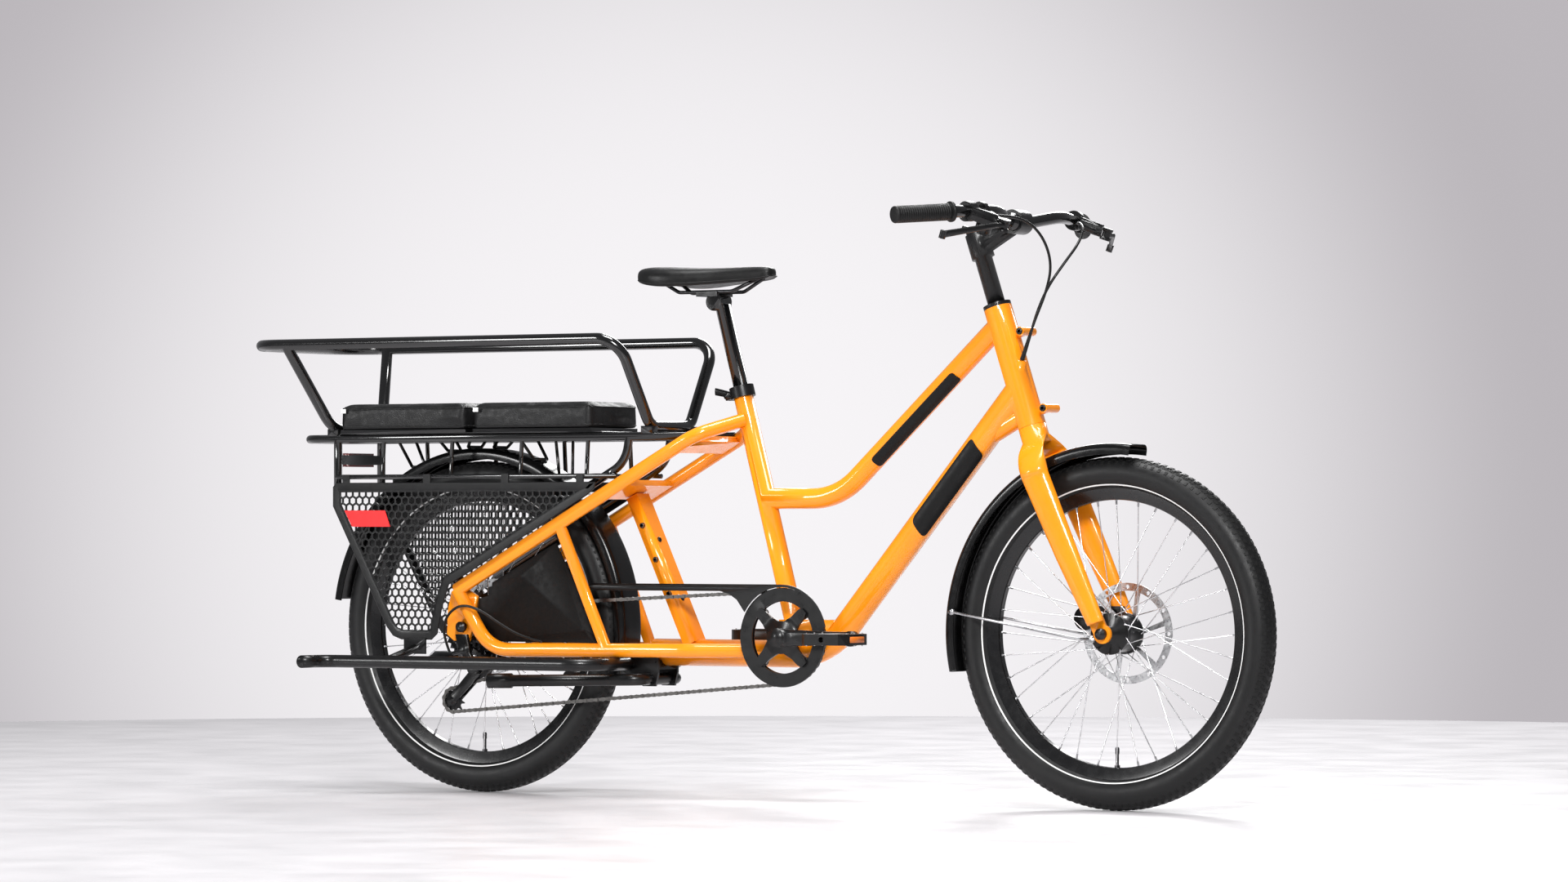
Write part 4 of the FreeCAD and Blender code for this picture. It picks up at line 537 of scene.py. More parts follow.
for side_name, axle in WHEELS.items():
    body = side_name + "_wheel"
    new_piece(side_name + "_tyre_casing", lathe("casing", axle, TYRE), "tyre_rubber", body,
              [side_name + "_tyre"], 40)
    new_piece(side_name + "_rim_profile", lathe("rim", axle, RIM), "rim_black", body,
              [side_name + "_rim"], 28)
    stripes = [lathe("stripe", axle, [(radius, side * y) for radius, y in LINE])
               for side in (-1, 1)]
    new_piece(side_name + "_tyre_line", stripes, "reflective_white", body, (), 32)
print("tyres and rims made")

# %% [markdown]
# A tread block is a short hexahedron on the casing: two wheel angles and two angles across the
# section bound it. Three blocks on each side make one unit of the pattern, from the crown to the
# shoulder, and the unit repeats round the wheel.

# %% Tread
TREAD_UNITS = 132
BLOCK_FOOT, BLOCK_TOP, BLOCK_TAPER = 27.8, 29.75, 0.12
BLOCKS = [((0, 0.62), (2, 17), 0.5), ((0.4, 1.05), (20, 35), 0.35), ((0, 0.5), (38, 56), 0.0)]


def tread_block(turns, sections, skew):
    """A block between two wheel angles and two section angles, in degrees."""
    rings = []
    for reach, taper in ((BLOCK_FOOT, 0.0), (BLOCK_TOP, BLOCK_TAPER)):
        ring = []
        for turn, section in ((0, 0), (1, 0), (1, 1), (0, 1)):
            across = sections[0] + (sections[1] - sections[0]) * (taper + section * (1 - 2 * taper))
            along = turns[0] + (turns[1] - turns[0]) * (taper + turn * (1 - 2 * taper))
            along = math.radians(along + skew * section)
            lean = math.radians(across)
            radius = CASING + reach * math.cos(lean)
            ring.append((radius * math.cos(along), reach * math.sin(lean),
                         radius * math.sin(along)))
        rings.append(ring)
    return lofted("block", rings)


def make_tread(side_name):
    step = 360 / TREAD_UNITS
    unit = joined("unit", [
        tread_block((first * step, last * step), (side * inner, side * outer), skew)
        for (first, last), (inner, outer), skew in BLOCKS for side in (1, -1)])
    data = ringed(unit, WHEELS[side_name], TREAD_UNITS)
    new_piece(side_name + "_tread", data, "tread_rubber", side_name + "_wheel")
    return len(data.polygons)


print("tread faces", make_tread("front"), make_tread("rear"))

# %% [markdown]
# A spoke leaves its flange with a short elbow and runs straight to its nipple in the rim. Lacing
# crosses two steps in front and three behind, so each spoke starts before or after its rim hole.
# Each flange carries nine leading and nine trailing spokes. A valve stands in each rim.

# %% Spokes, nipples and valves
SPOKES_TO_FLANGE = 18
ROOT, ELBOW = (2.2, 4.2), (1.4, 2.9)
NIPPLE_HOLE, NIPPLE_OFFSET = 236.4, 3
NIPPLE = [(-8, 1.3), (-7.4, 1.8), (-1.5, 1.9), (1.2, 2.6)]
VALVE = [(-238, 5), (-233, 5), (-233, 3), (-213, 3), (-213, 3.8), (-203, 3.8), (-201, 2.5)]


def turned(angle, radius, y):
    return Vector((radius * math.cos(angle), y, radius * math.sin(angle)))


def make_spokes(side_name, flange, half_flange, crossings):
    step = 2 * math.pi / SPOKES_TO_FLANGE
    centre, count, body = WHEELS[side_name], SPOKES_TO_FLANGE // 2, side_name + "_wheel"
    wires, nipples = [], []
    for side in (-1, 1):
        for lead in (-1, 1):
            rim_angle = (step if lead == 1 else 0) + (step / 2 if side == -1 else 0)
            hub_angle = rim_angle + lead * step * crossings
            root, elbow = (turned(hub_angle, flange - depth, side * (half_flange + lead * out))
                           for depth, out in (ROOT, ELBOW))
            tip = turned(rim_angle, NIPPLE_HOLE, side * NIPPLE_OFFSET)
            wire = bar("wire", [root, elbow, elbow.lerp(tip, 0.02), tip], [1.0] * 4, 6)
            wires.append(ringed(wire, centre, count))
            heading = (tip - elbow).normalized()
            nipple = bar("nipple", [tip + heading * reach for reach, _ in NIPPLE],
                         [radius for _, radius in NIPPLE], 6)
            nipples.append(ringed(nipple, centre, count))
    new_piece(side_name + "_spoke_wires", wires, "spoke_steel", body, [side_name + "_spokes"], 65)
    new_piece(side_name + "_spoke_nipples", nipples, "bolt_steel", body)


make_spokes("front", 37, 28, 2)
make_spokes("rear", 30, 24, 3)
for side_name, axle in WHEELS.items():
    line = [axle + Vector((0, 0, reach)) for reach, _ in VALVE]
    new_piece(side_name + "_valve", bar("valve", line, [radius for _, radius in VALVE]),
              "dark_steel", side_name + "_wheel", (), 32)
print("spokes, nipples and valves made")

# %% [markdown]
# ## Fenders
# A fender is a channel with rounded shoulders. The same lathe turns it through part of a circle.
# Its profile is a strip of even wall: the outer skin from lip to lip, then the inner skin back.

# %% Fenders
OUTER_SKIN, INNER_SKIN = (34, 338), (32, 336)
SHOULDER = (326.5, 22.5)


def fender_half(side, crown):
    """Lip, side and shoulder of one skin, up to near the middle."""
    shoulder = arc_of(SHOULDER, side - SHOULDER[1], 90, 0, 6)
    return [(318, side), (322, side)] + shoulder + [(crown, 11)]


def make_fender(name, centre, first, sweep):
    outer, inner = fender_half(*OUTER_SKIN), fender_half(*INNER_SKIN)
    profile = (outer + [(radius, -y) for radius, y in outer[::-1]]
               + [(radius, -y) for radius, y in inner] + inner[::-1])
    data = lathe(name, centre, profile, int(sweep * 0.8), first, sweep)
    new_piece(name + "_shell", data, "fender_black", BODY_OF[name], [name], 40)


make_fender("front_fender", WHEELS["front"], 82.7, 109.6)
make_fender("rear_fender", WHEELS["rear"], -15.4, 186.9)
print("fenders made")

# %% [markdown]
# ## Chain
# A roller chain alternates inner links, with their rollers, and outer links, with their pins. The
# centres of the links lie on the pitch line: straight runs and arcs round the ring, the two
# derailleur wheels and the driven sprocket. Each stop has a centre, its teeth and the way round.

# %% Pitch line
PITCH = 12.7
LINKS = 162
CHAIN_Y = -45
STOPS = [(Vector((87, 0, 301)), 42, 1), (Vector((-653.783, 0, 174.748)), 11, 1),
         (Vector((-592, 0, 236)), 11, -1), (Vector((-614, 0, 314)), 18, 1)]


def pitch_line():
    """The closed pitch line as pieces: arcs with their centre, and straight runs."""
    runs = []
    for (start, teeth, sense), (end, next_teeth, next_sense) in zip(STOPS, STOPS[1:] + STOPS[:1]):
        gap = end - start
        shift = (sense * teeth - next_sense * next_teeth) * PITCH / (2 * math.pi)
        length = math.sqrt(gap.x ** 2 + gap.z ** 2 - shift ** 2)
        runs.append((math.atan2(gap.z, gap.x) - math.atan2(shift, length), length))
    pieces = []
    for k, (centre, teeth, sense) in enumerate(STOPS):
        radius = teeth * PITCH / (2 * math.pi)
        entry, leaving = runs[k - 1][0], runs[k][0]
        wrap = (sense * (entry - leaving)) % (2 * math.pi)
        pieces.append((centre, radius, sense, entry, wrap, runs[k][1]))
    return pieces


def walk(pieces):
    """The centre and the heading of every link, a pitch apart along the line."""
    spots, reach = [], PITCH / 2
    for centre, radius, sense, entry, wrap, length in pieces:
        while reach <= radius * wrap + length:
            turn = min(reach / radius, wrap)
            heading = entry - sense * turn
            ahead = Vector((math.cos(heading), 0, math.sin(heading)))
            out = Vector((-ahead.z, 0, ahead.x)) * (sense * radius)
            spots.append((centre + out + ahead * (reach - radius * turn), heading))
            reach += PITCH
        reach -= radius * wrap + length
    return spots[:LINKS]


PIECES = pitch_line()
SPOTS = walk(PIECES)
print("links placed", len(SPOTS))

# %% [markdown]
# A link's plates have two round ends and a waist. Rollers and pins are short bars across them.

# %% Links
def link_plate(face, thickness, radius, waist):
    """A plate with two round ends and a waist, between two heights along Y."""
    end = [(PITCH / 2 + radius * math.cos(turn), radius * math.sin(turn))
           for turn in map(math.radians, (-105, -60, -20, 20, 60, 105))]
    ring = end + [(0, waist)] + [(-x, z) for x, z in end[::-1]] + [(0, -waist)]
    return lofted("plate", [[(x, y, z) for x, z in ring] for y in (face, face + thickness)])


def link(faces, plate_radius, waist, bar_radius, half_width, sides):
    """A link about the origin: two plates, with a bar across each end."""
    plates = [link_plate(face, 0.8, plate_radius, waist) for face in faces]
    bars = [bar("pin", [Vector((x, -half_width, 0)), Vector((x, half_width, 0))],
                [bar_radius] * 2, sides) for x in (PITCH / 2, -PITCH / 2)]
    return joined("link", plates + bars)


OUTER_LINK = ((2.2, -3.0), 3.5, 2.4, 1.8, 3.1, 6)
INNER_LINK = ((1.35, -2.15), 3.6, 2.5, 3.7, 1.3, 8)
print("two kinds of link ready")

# %% [markdown]
# The chain is one closed line in three stretches. The links round the two wheels and the run below
# them are two stretches of their own, attached to no body.

# %% Chain
RUN_LENGTH = 250.0


def chain_stretch(name, spots, body, stands_for=()):
    """The links with these centres and headings, the first of them an outer link."""
    kinds = [scattered(link(*sizes), [point + Vector((0, CHAIN_Y, 0)) for point, _ in part],
                       [-heading for _, heading in part])
             for sizes, part in ((OUTER_LINK, spots[::2]), (INNER_LINK, spots[1::2]))]
    return new_piece(name, kinds, "chain_steel", body, stands_for)


def even_link(distance):
    return 2 * round(distance / PITCH / 2)


def make_chain():
    wraps = [radius * wrap for _, radius, _, _, wrap, _ in PIECES]
    runs = [length for *_, length in PIECES]
    entry = wraps[0] + runs[0]
    first = even_link(entry - RUN_LENGTH)
    middle = even_link(entry + wraps[1] / 2)
    last = even_link(entry + wraps[1] + runs[1] + wraps[2])
    fixed = chain_stretch("chain_links", SPOTS[last:] + SPOTS[:first], "frame", ["chain"])
    lower = chain_stretch("chain_lower_run", SPOTS[first:middle], None)
    swinging = chain_stretch("chain_cage_run", SPOTS[middle:last], None)
    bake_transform(lower)
    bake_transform(swinging)
    return [len(piece.data.polygons) for piece in (fixed, lower, swinging)]


print("chain faces", make_chain())

# %% [markdown]
# ## Honeycomb guards
# A guard keeps feet and coats out of the wheel. Its sheet is a grid of hexagonal windows inside a
# raised border. Flat cells are scattered over the spots of a staggered grid that lie inside the
# outline. They are welded to one sheet, and Solidify gives the sheet its wall.

# %% Honeycomb
GUARD_PITCH = 15.5
GUARD_RIB = 3.6
GUARD_Y = 81.4
GRID_CORNER, GRID_COLUMNS, GRID_ROWS = (-912, 284), 42, 24
GUARD_CORNERS = [(-904, 587), (-912, 579), (-912, 542), (-784, 312), (-770, 296), (-750, 289),
                 (-680, 289), (-667, 300), (-656, 350), (-640, 393.7), (-600, 413.7),
                 (-322, 563.6), (-308, 575.6), (-306, 587)]


def inset(corners, margin):
    """The outline moved inward; corners run against the clock."""
    moved = []
    for k, corner in enumerate(corners):
        here = Vector(corner)
        before, after = Vector(corners[k - 1]), Vector(corners[(k + 1) % len(corners)])
        first, second = (here - before).normalized(), (after - here).normalized()
        normal = Vector((-first.y - second.y, first.x + second.x))
        moved.append(here + normal * (margin / max(0.35, 1 + first.dot(second))))
    return [(spot.x, spot.y) for spot in moved]


def inside(x, z, corners):
    """Whether a spot lies within an outline: a line from it crosses an odd number of edges."""
    crossed = 0
    for (x0, z0), (x1, z1) in zip(corners, corners[1:] + corners[:1]):
        if (z0 > z) != (z1 > z) and x < x0 + (x1 - x0) * (z - z0) / (z1 - z0):
            crossed += 1
    return crossed % 2 == 1


def make_cell():
    """A flat hexagon with a hexagonal window, about the origin."""
    rings = [[Vector((x, 0, z)) * MM
              for z, x in arc_of((0, 0), width / math.sqrt(3), 0, 360, 6)[:-1]]
             for width in (GUARD_PITCH, GUARD_PITCH - GUARD_RIB)]
    data = bpy.data.meshes.new("cell")
    data.from_pydata(rings[0] + rings[1], [],
                     [(k, (k + 1) % 6, (k + 1) % 6 + 6, k + 6) for k in range(6)])
    return data


def honeycomb_sheet(y):
    """The flat grid inside the outline, welded to one sheet."""
    region = inset(GUARD_CORNERS, 9)
    grid = [(GRID_CORNER[0] + (column + row % 2 * 0.5) * GUARD_PITCH, y,
             GRID_CORNER[1] + row * math.sqrt(0.75) * GUARD_PITCH)
            for row in range(GRID_ROWS) for column in range(GRID_COLUMNS)]
    spots = [spot for spot in grid if inside(spot[0], spot[2], region)]
    data = scattered(make_cell(), spots, [0.0] * len(spots))
    with editing(data) as work:
        bmesh.ops.remove_doubles(work, verts=work.verts, dist=0.00002)
    return data


print("honeycomb ready")

# %% [markdown]
# The border is one closed strip that follows the outline and covers the cut cells. Its section is
# set by margins from the outline, and four tabs clip it to the side bar. A tab is a box with
# rounded edges, which later makes reflectors and the lens of the lamp too.

# %% Guards
BORDER = [(0.3, 80.2), (0, 80.8), (0, 82.2), (1.2, 83), (12.5, 83), (17, 82.2), (18.5, 81.2),
          (18.5, 80.2)]
TABS = (-881, -691, -511, -341)
TAB_PLACE, TAB_SIZE = (81.6, 590.8), Vector((17.6, 2.6, 23.6))


def rounded_box(name, middle, size, edge, segments=3):
    """A box about a point, with rounded edges and smooth shading."""
    work = bmesh.new()
    bmesh.ops.create_cube(work, size=1.0, matrix=Matrix.Translation(middle * MM)
                          @ Matrix.Diagonal((*(size * MM), 1)))
    bmesh.ops.bevel(work, geom=work.edges, offset=edge * MM, segments=segments, affect="EDGES")
    data = bpy.data.meshes.new(name)
    work.to_mesh(data)
    work.free()
    data.shade_smooth()
    return data


def make_guard(side_name, side):
    sheet = honeycomb_sheet(side * GUARD_Y)
    grid = new_piece("guard_honeycomb_" + side_name, sheet, "guard_plastic", "frame")
    solid = grid.modifiers.new("thickness", "SOLIDIFY")
    solid.thickness = 0.0022
    solid.offset = 0.0
    rings = [[(x, side * y, z) for x, z in inset(GUARD_CORNERS, margin)] for margin, y in BORDER]
    parts = [lofted("border", rings, closed=True)]
    parts += [rounded_box("tab", Vector((x, side * TAB_PLACE[0], TAB_PLACE[1])), TAB_SIZE, 0.8, 2)
              for x in TABS]
    new_piece("guard_border_" + side_name, parts, "guard_border", "frame",
              ["side_guard_" + side_name], 30)
    return len(sheet.polygons) // 6


print("guard cells", make_guard("right", -1), make_guard("left", 1))

# %% [markdown]
# ## Seat pads
# The two passenger pads are firm cushions on the deck. Each starts as a slightly small block with
# round upright edges, remeshed evenly. Blender's cloth then blows it up with a little pressure. No
# point moves more than a few millimetres, and the underside stays flat on its board.

# %% Pad blocks and cloth
PADS = {"front": (-594.0, -312.0), "rear": (-903.0, -598.0)}
PAD_FOOT, PAD_TOP, PAD_HALF = 688.4, 734.6, 87.0
VOXEL = 0.005
PRESSURE, FRAMES, REACH_CAP = 4.0, 20, 0.006


def rounded_outline(x0, x1, y0, y1, radius, steps=5):
    """Corner points of a rectangle with round corners, against the clock."""
    spots = []
    for centre, first in (((x1 - radius, y1 - radius), 0), ((x0 + radius, y1 - radius), 90),
                          ((x0 + radius, y0 + radius), 180), ((x1 - radius, y0 + radius), 270)):
        spots += arc_of(centre, radius, first, first + 90, steps)
    return spots


def pad_block(x0, x1):
    """The block before it is blown up."""
    levels = [(PAD_FOOT, 2.5), (PAD_FOOT + 3, 1.5), (PAD_TOP - 7, 2.5), (PAD_TOP - 4.5, 3.5),
              (PAD_TOP - 3.2, 7)]
    return lofted("pad", [[(x, y, z) for x, y in rounded_outline(
        x0 + margin, x1 - margin, margin - PAD_HALF, PAD_HALF - margin, 13)]
        for z, margin in levels])


def remeshed(data):
    """The same solid with an even net of faces."""
    helper = bpy.data.objects.new("block", data)
    bpy.context.scene.collection.objects.link(helper)
    voxels = helper.modifiers.new("voxels", "REMESH")
    voxels.mode = "VOXEL"
    voxels.voxel_size = VOXEL
    even = mesh_of(helper)
    discard(helper)
    return even


def swell(piece):
    """Cloth under pressure; every move is capped and the floor is kept."""
    scene = bpy.context.scene
    cloth = piece.modifiers.new("cloth", "CLOTH")
    cloth.settings.use_pressure = True
    cloth.settings.uniform_pressure_force = PRESSURE
    cloth.settings.effector_weights.gravity = 0.0
    scene.frame_start, scene.frame_end = 1, FRAMES
    for frame_number in range(1, FRAMES + 1):
        scene.frame_set(frame_number)
    seen = piece.evaluated_get(bpy.context.evaluated_depsgraph_get())
    moved = [vertex.co.copy() for vertex in seen.data.vertices]
    piece.modifiers.remove(cloth)
    scene.frame_set(1)
    for vertex, after in zip(piece.data.vertices, moved):
        step = after - vertex.co
        if step.length > REACH_CAP:
            step = step.normalized() * REACH_CAP
        if vertex.co.z < (PAD_FOOT + 2) * MM:
            step.z = 0
        vertex.co += step


print("pad helpers ready")

# %% [markdown]
# The swollen pads are kept inside the room that the deck gives them. A sewn piping runs round the
# top edge and the foot: points of an outline are laid on the nearest place of the surface.

# %% Pads and piping
SEAM_RADIUS, SEAM_STEPS = 1.1, 12
SEAM_HEIGHTS = (PAD_TOP - 4, PAD_FOOT + 5)


def keep_inside(piece, x0, x1):
    """Holds the points of a pad within its place on the deck."""
    for vertex in piece.data.vertices:
        vertex.co.x = min(max(vertex.co.x, (x0 + 0.4) * MM), (x1 - 0.4) * MM)
        vertex.co.y = min(max(vertex.co.y, (0.2 - PAD_HALF) * MM), (PAD_HALF - 0.2) * MM)
        vertex.co.z = min(vertex.co.z, (PAD_TOP + 2.5) * MM)
    piece.data.update()


def piping(surface, x0, x1, z):
    """A cord round the pad at a height."""
    ring = rounded_outline(x0 + 1, x1 - 1, 1 - PAD_HALF, PAD_HALF - 1, 14, 4)
    dense = [Vector(a).lerp(Vector(b), step / SEAM_STEPS)
             for a, b in zip(ring, ring[1:] + ring[:1]) for step in range(SEAM_STEPS)]
    tree = BVHTree.FromObject(surface, bpy.context.evaluated_depsgraph_get())
    line = [tree.find_nearest(Vector((*spot, z)) * MM)[0] / MM for spot in dense]
    return bar("seam", line + line[:2], [SEAM_RADIUS] * (len(line) + 2), 8)


def make_pad(label):
    x0, x1 = PADS[label]
    piece = new_piece("seat_pad_" + label, remeshed(pad_block(x0, x1)), "pad_cover", "frame")
    swell(piece)
    keep_inside(piece, x0, x1)
    piece.data.shade_smooth()
    seams = [piping(piece, x0, x1, z) for z in SEAM_HEIGHTS]
    smooth = piece.modifiers.new("smooth", "SUBSURF")
    smooth.levels = smooth.render_levels = 1
    new_piece("pad_piping_" + label, seams, "saddle_cover", "frame", (), 60)
    return piece


front_pad, rear_pad = make_pad("front"), make_pad("rear")
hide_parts("seat_pads")
print("pads", len(front_pad.data.polygons), len(rear_pad.data.polygons))

# %% [markdown]
# ## Saddle
# The saddle is a padded shell over its rails. A cage of sections from tail to nose sets the form
# and Subdivision Surface rounds it. A section is the same ring each time: y in shares of the half
# width, z in shares of the height. A thin hem runs round the edge where the cover is folded under.

# %% Saddle
POST_TOP = Vector((-76.57, 0, 911.47))
SADDLE = [(-168.5, 18, 56, 66), (-163, 46, 46, 72), (-138, 66, 38, 75), (-98, 75, 32, 74.5),
          (-43, 61, 34, 71.5), (7, 39, 38, 70.5), (57, 26, 41, 71.5), (97, 20, 45, 71.5),
          (112, 14, 50, 69)]
SADDLE_RING = [(-1, 0.26), (-1, 0.6), (-0.84, 0.9), (-0.45, 1.0), (0, 0.97), (0.45, 1.0),
               (0.84, 0.9), (1, 0.6), (1, 0.26), (0.96, 0.02), (0.78, 0.12), (0, 0.2),
               (-0.78, 0.12), (-0.96, 0.02)]
HEM_Y, HEM_Z = 0.985, 0.2


def on_saddle(section, y, z):
    """A point of a section, from its shares of half width and height."""
    x, half, low, high = section
    return POST_TOP + Vector((x, half * y, low + (high - low) * z))


cage = lofted("saddle_cage", [[on_saddle(section, y, z) for y, z in SADDLE_RING]
                              for section in SADDLE])
cage.shade_smooth()
shell = new_piece("saddle_shell", cage, "saddle_cover", "seat", ["saddle"])
rounded = shell.modifiers.new("rounded", "SUBSURF")
rounded.levels = rounded.render_levels = 3

edge = [on_saddle(section, HEM_Y, HEM_Z) for section in SADDLE[1:]]
edge += [on_saddle(section, -HEM_Y, HEM_Z) for section in SADDLE[:0:-1]]
trim = smooth_curve("hem", edge, 0.0013, cyclic=True)
hem = mesh_of(trim)
discard(trim)
hem.shade_smooth()
new_piece("saddle_hem", hem, "grip_rubber", "seat")
print("saddle made")

# %% [markdown]
# ## Grips
# A grip is a sleeve of soft rubber on the end of the bar. It is drawn as a bar whose radius rises
# and falls in fine ribs along its length, with a flange at the inner end and a domed cap. The
# points are moved on by a hair each, because a bar needs a heading between any two of them.

# %% Grips
GRIP_INNER, BAR_END = Vector((555.87, 222, 1058.69)), Vector((498.87, 334, 1049.69))
GRIP_REACH = 116
HAIR = 0.002
RIB = [(0, 14.7), (0.7, 15.4), (2.7, 15.4), (3.4, 14.7)]
RIBS, RIB_PITCH, RIBS_START = 23, 4.6, 9.0
FLANGE = [(0, 12.5), (0, 18.2), (1, 18.5), (4, 18.5), (5, 17.5), (6, 14.8)]
CAP = [(115, 15.2), (118, 15.4), (119.8, 14.6), (120.9, 12), (121, 8)]


def make_grips():
    along = (BAR_END - GRIP_INNER).normalized()
    start = BAR_END - along * GRIP_REACH
    marks = FLANGE + [(RIBS_START + RIB_PITCH * k + reach, radius)
                      for k in range(RIBS) for reach, radius in RIB] + CAP
    spots = [start + along * (reach + HAIR * k) for k, (reach, _) in enumerate(marks)]
    radii = [radius for _, radius in marks]
    grips = [bar("grip", [Vector((spot.x, side * spot.y, spot.z)) for spot in spots], radii, 32)
             for side in (1, -1)]
    new_piece("grips_ribbed", grips, "grip_rubber", "steering", ["grips"], 50)


make_grips()
print("grips made")

# %% [markdown]
# ## Cables
# Each brake hose and the gear cable is a smooth curve through the air. The points repeat the route
# that the CAD tube follows. The two hoses are attached to no body.

# %% Cables
RIGHT_HOSE = [(588.9, -152.4, 1053), (603, -114, 1055), (621, -74, 1044), (633, -42, 1012),
              (637, -26, 968), (622, -20, 922), (602, -21, 878), (584, -20, 836),
              (569.8, -19.2, 801.9)]
LEFT_HOSE = [(588.9, 152.4, 1053), (611, 122, 1053), (637, 90, 1040), (648, 54, 1012),
             (632, 26, 974), (610, 6, 932), (595, -7, 886), (583, -12, 840), (569.8, -11.8, 801.9)]
GEAR_CABLE = [(-428, -80, 288.6), (-470, -85, 297), (-510, -97, 320), (-550, -103, 346),
              (-594, -105, 358), (-630, -102, 338), (-646, -95, 302), (-634, -87, 266)]
CABLE_DIAMETER = 0.005


def make_cable(name, route, body, node_name):
    """A mesh tube round the route's spline."""
    helper = smooth_curve(name + "_curve", route, CABLE_DIAMETER / 2)
    tube = mesh_of(helper)
    helper.data.bevel_depth = 0.0
    line = mesh_of(helper)
    bpy.data.meshes.remove(line)
    discard(helper)
    tube.shade_smooth()
    piece = new_piece(name, tube, "cable_jacket", body, [node_name])
    if body is None:
        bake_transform(piece)


make_cable("brake_hose_right", RIGHT_HOSE, None, "cable_right")
make_cable("brake_hose_left", LEFT_HOSE, None, "cable_left")
make_cable("gear_cable", GEAR_CABLE, "frame", "derailleur_cable")

# %% [markdown]
# ## Patches, gusset, bolts and tags
# Small things finish the bicycle. Two plain dark patches hug the tubes. A patch is a thin shell on
# the tube's own radius, with its corners cut to a curve. Each row of it is one ring: the outer
# skin forward and the inner skin back.

# %% Patches on the tubes
PATCH_COLUMNS, PATCH_ROWS = 26, 18
PATCH_SKINS = (0.05, 0.9)


def tube_patch(name, start, angle, radius, reach, spread, corner, slant=0.0):
    """A shell on a tube that rises forward at an angle; reach and spread bound it."""
    rise = math.radians(angle)
    along = Vector((math.cos(rise), 0, math.sin(rise)))
    up = Vector((-math.sin(rise), 0, math.cos(rise)))
    low, high = (math.radians(turn) for turn in spread)
    rings = []
    for row in range(PATCH_ROWS + 1):
        turn = low + (high - low) * row / PATCH_ROWS
        side = min(turn - low, high - turn) * radius
        cut = corner - math.sqrt(max(0.0, corner ** 2 - max(0.0, corner - side) ** 2))
        lean = slant * row / PATCH_ROWS
        near, far = reach[0] + cut + lean, reach[1] - cut + lean
        out = up * math.sin(turn) - Vector((0, math.cos(turn), 0))
        inner, outer = ([start + along * (near + (far - near) * column / PATCH_COLUMNS)
                         + out * (radius + skin) for column in range(PATCH_COLUMNS + 1)]
                        for skin in PATCH_SKINS)
        rings.append(outer + inner[::-1])
    new_piece(name, lofted(name, rings), "black_patch", "frame", (), 50)


tube_patch("top_tube_patch", Vector((176, 0, 555)), 42.6, 19, (106, 338), (-80, -4), 6)
tube_patch("down_tube_patch", Vector((150, 0, 270)), 49.7, 25, (300, 494), (-68, 26), 9, 14)
print("patches made")

# %% [markdown]
# A short round gusset fills the corner under the down tube. It starts inside the tube, leaves it
# at a flatter angle and ends in the wall of the head tube.

# %% Gusset under the down tube
GUSSET_LINE = [Vector((478, 0, 655.3)), Vector((530, 0, 684)), Vector((556.8, 0, 698.8))]
new_piece("down_tube_gusset", bar("gusset", GUSSET_LINE, [15, 16, 16], 40), "orange_paint",
          "frame", (), 32)
print("gusset made")

# %% [markdown]
# A bolt is drawn as a bar along its axis: a domed head, then the wall of its hexagonal socket.
# Three bolts stand on the right of the strut and two on its front, and one in each end of the two
# bosses on the head tube.

# %% Bolts
BOLT = [(0, 0.93), (0.15, 1), (0.6, 0.98), (0.85, 0.86), (1, 0.6), (1, 0.46), (0.45, 0.44)]
RIGHT = Vector((0, -1, 0))
STRUT_TOP, STRUT_FOOT = Vector((-266, 0, 560)), Vector((-143, 0, 297))
HEAD_FOOT, HEAD_ANGLE = Vector((582, 0, 682.5)), 71.65


def bolt(spot, heading, radius, height):
    """A domed head with a socket, standing on a face; its line is in shares of its size."""
    return bar("bolt", [spot + heading * (height * reach) for reach, _ in BOLT],
               [radius * width for _, width in BOLT], 24)


def make_bolts():
    along = (STRUT_FOOT - STRUT_TOP).normalized()
    ahead = Vector((-along.z, 0, along.x))
    heads = [bolt(STRUT_TOP + along * reach + RIGHT * 20.4, RIGHT, 5.6, 4.9)
             for reach in (60, 130, 200)]
    heads += [bolt(STRUT_TOP + along * reach + ahead * 12.4 + RIGHT * 5, ahead, 5.0, 3.2)
              for reach in (95, 215)]
    new_piece("strut_bolts", heads, "dark_steel", "frame", (), 40)
    lean = math.radians(90 - HEAD_ANGLE)
    up = Vector((-math.sin(lean), 0, math.cos(lean)))
    forward = Vector((math.cos(lean), 0, math.sin(lean)))
    ends = []
    for reach, out in ((166, 42), (20, 44)):
        centre = HEAD_FOOT + up * reach + forward * out
        ends += [bolt(centre - RIGHT * (side * 23.8), -RIGHT * side, 6.2, 3.6)
                 for side in (-1, 1)]
    new_piece("boss_bolts", ends, "dark_steel", "frame", (), 40)


make_bolts()
print("bolts made")

# %% [markdown]
# A tag is a small plate with rounded edges. The one on the right guard is a slanted red lozenge,
# and each pad has a little pale one near its rear top corner. They carry no words.

# %% Tags
TAG_FACE = -82.3
PAD_FACE = 0.5 - PAD_HALF


def plate_tag(name, y, corners, thickness, material):
    """A thin plate with four corners (x, z), pushed out along -Y and bevelled."""
    data = lofted(name, [[(x, y - depth, z) for x, z in corners] for depth in (0, thickness)])
    with editing(data) as work:
        bmesh.ops.bevel(work, geom=work.edges, offset=thickness * 0.35 * MM, segments=2,
                        affect="EDGES")
    new_piece(name, data, material, "frame", (), 40)


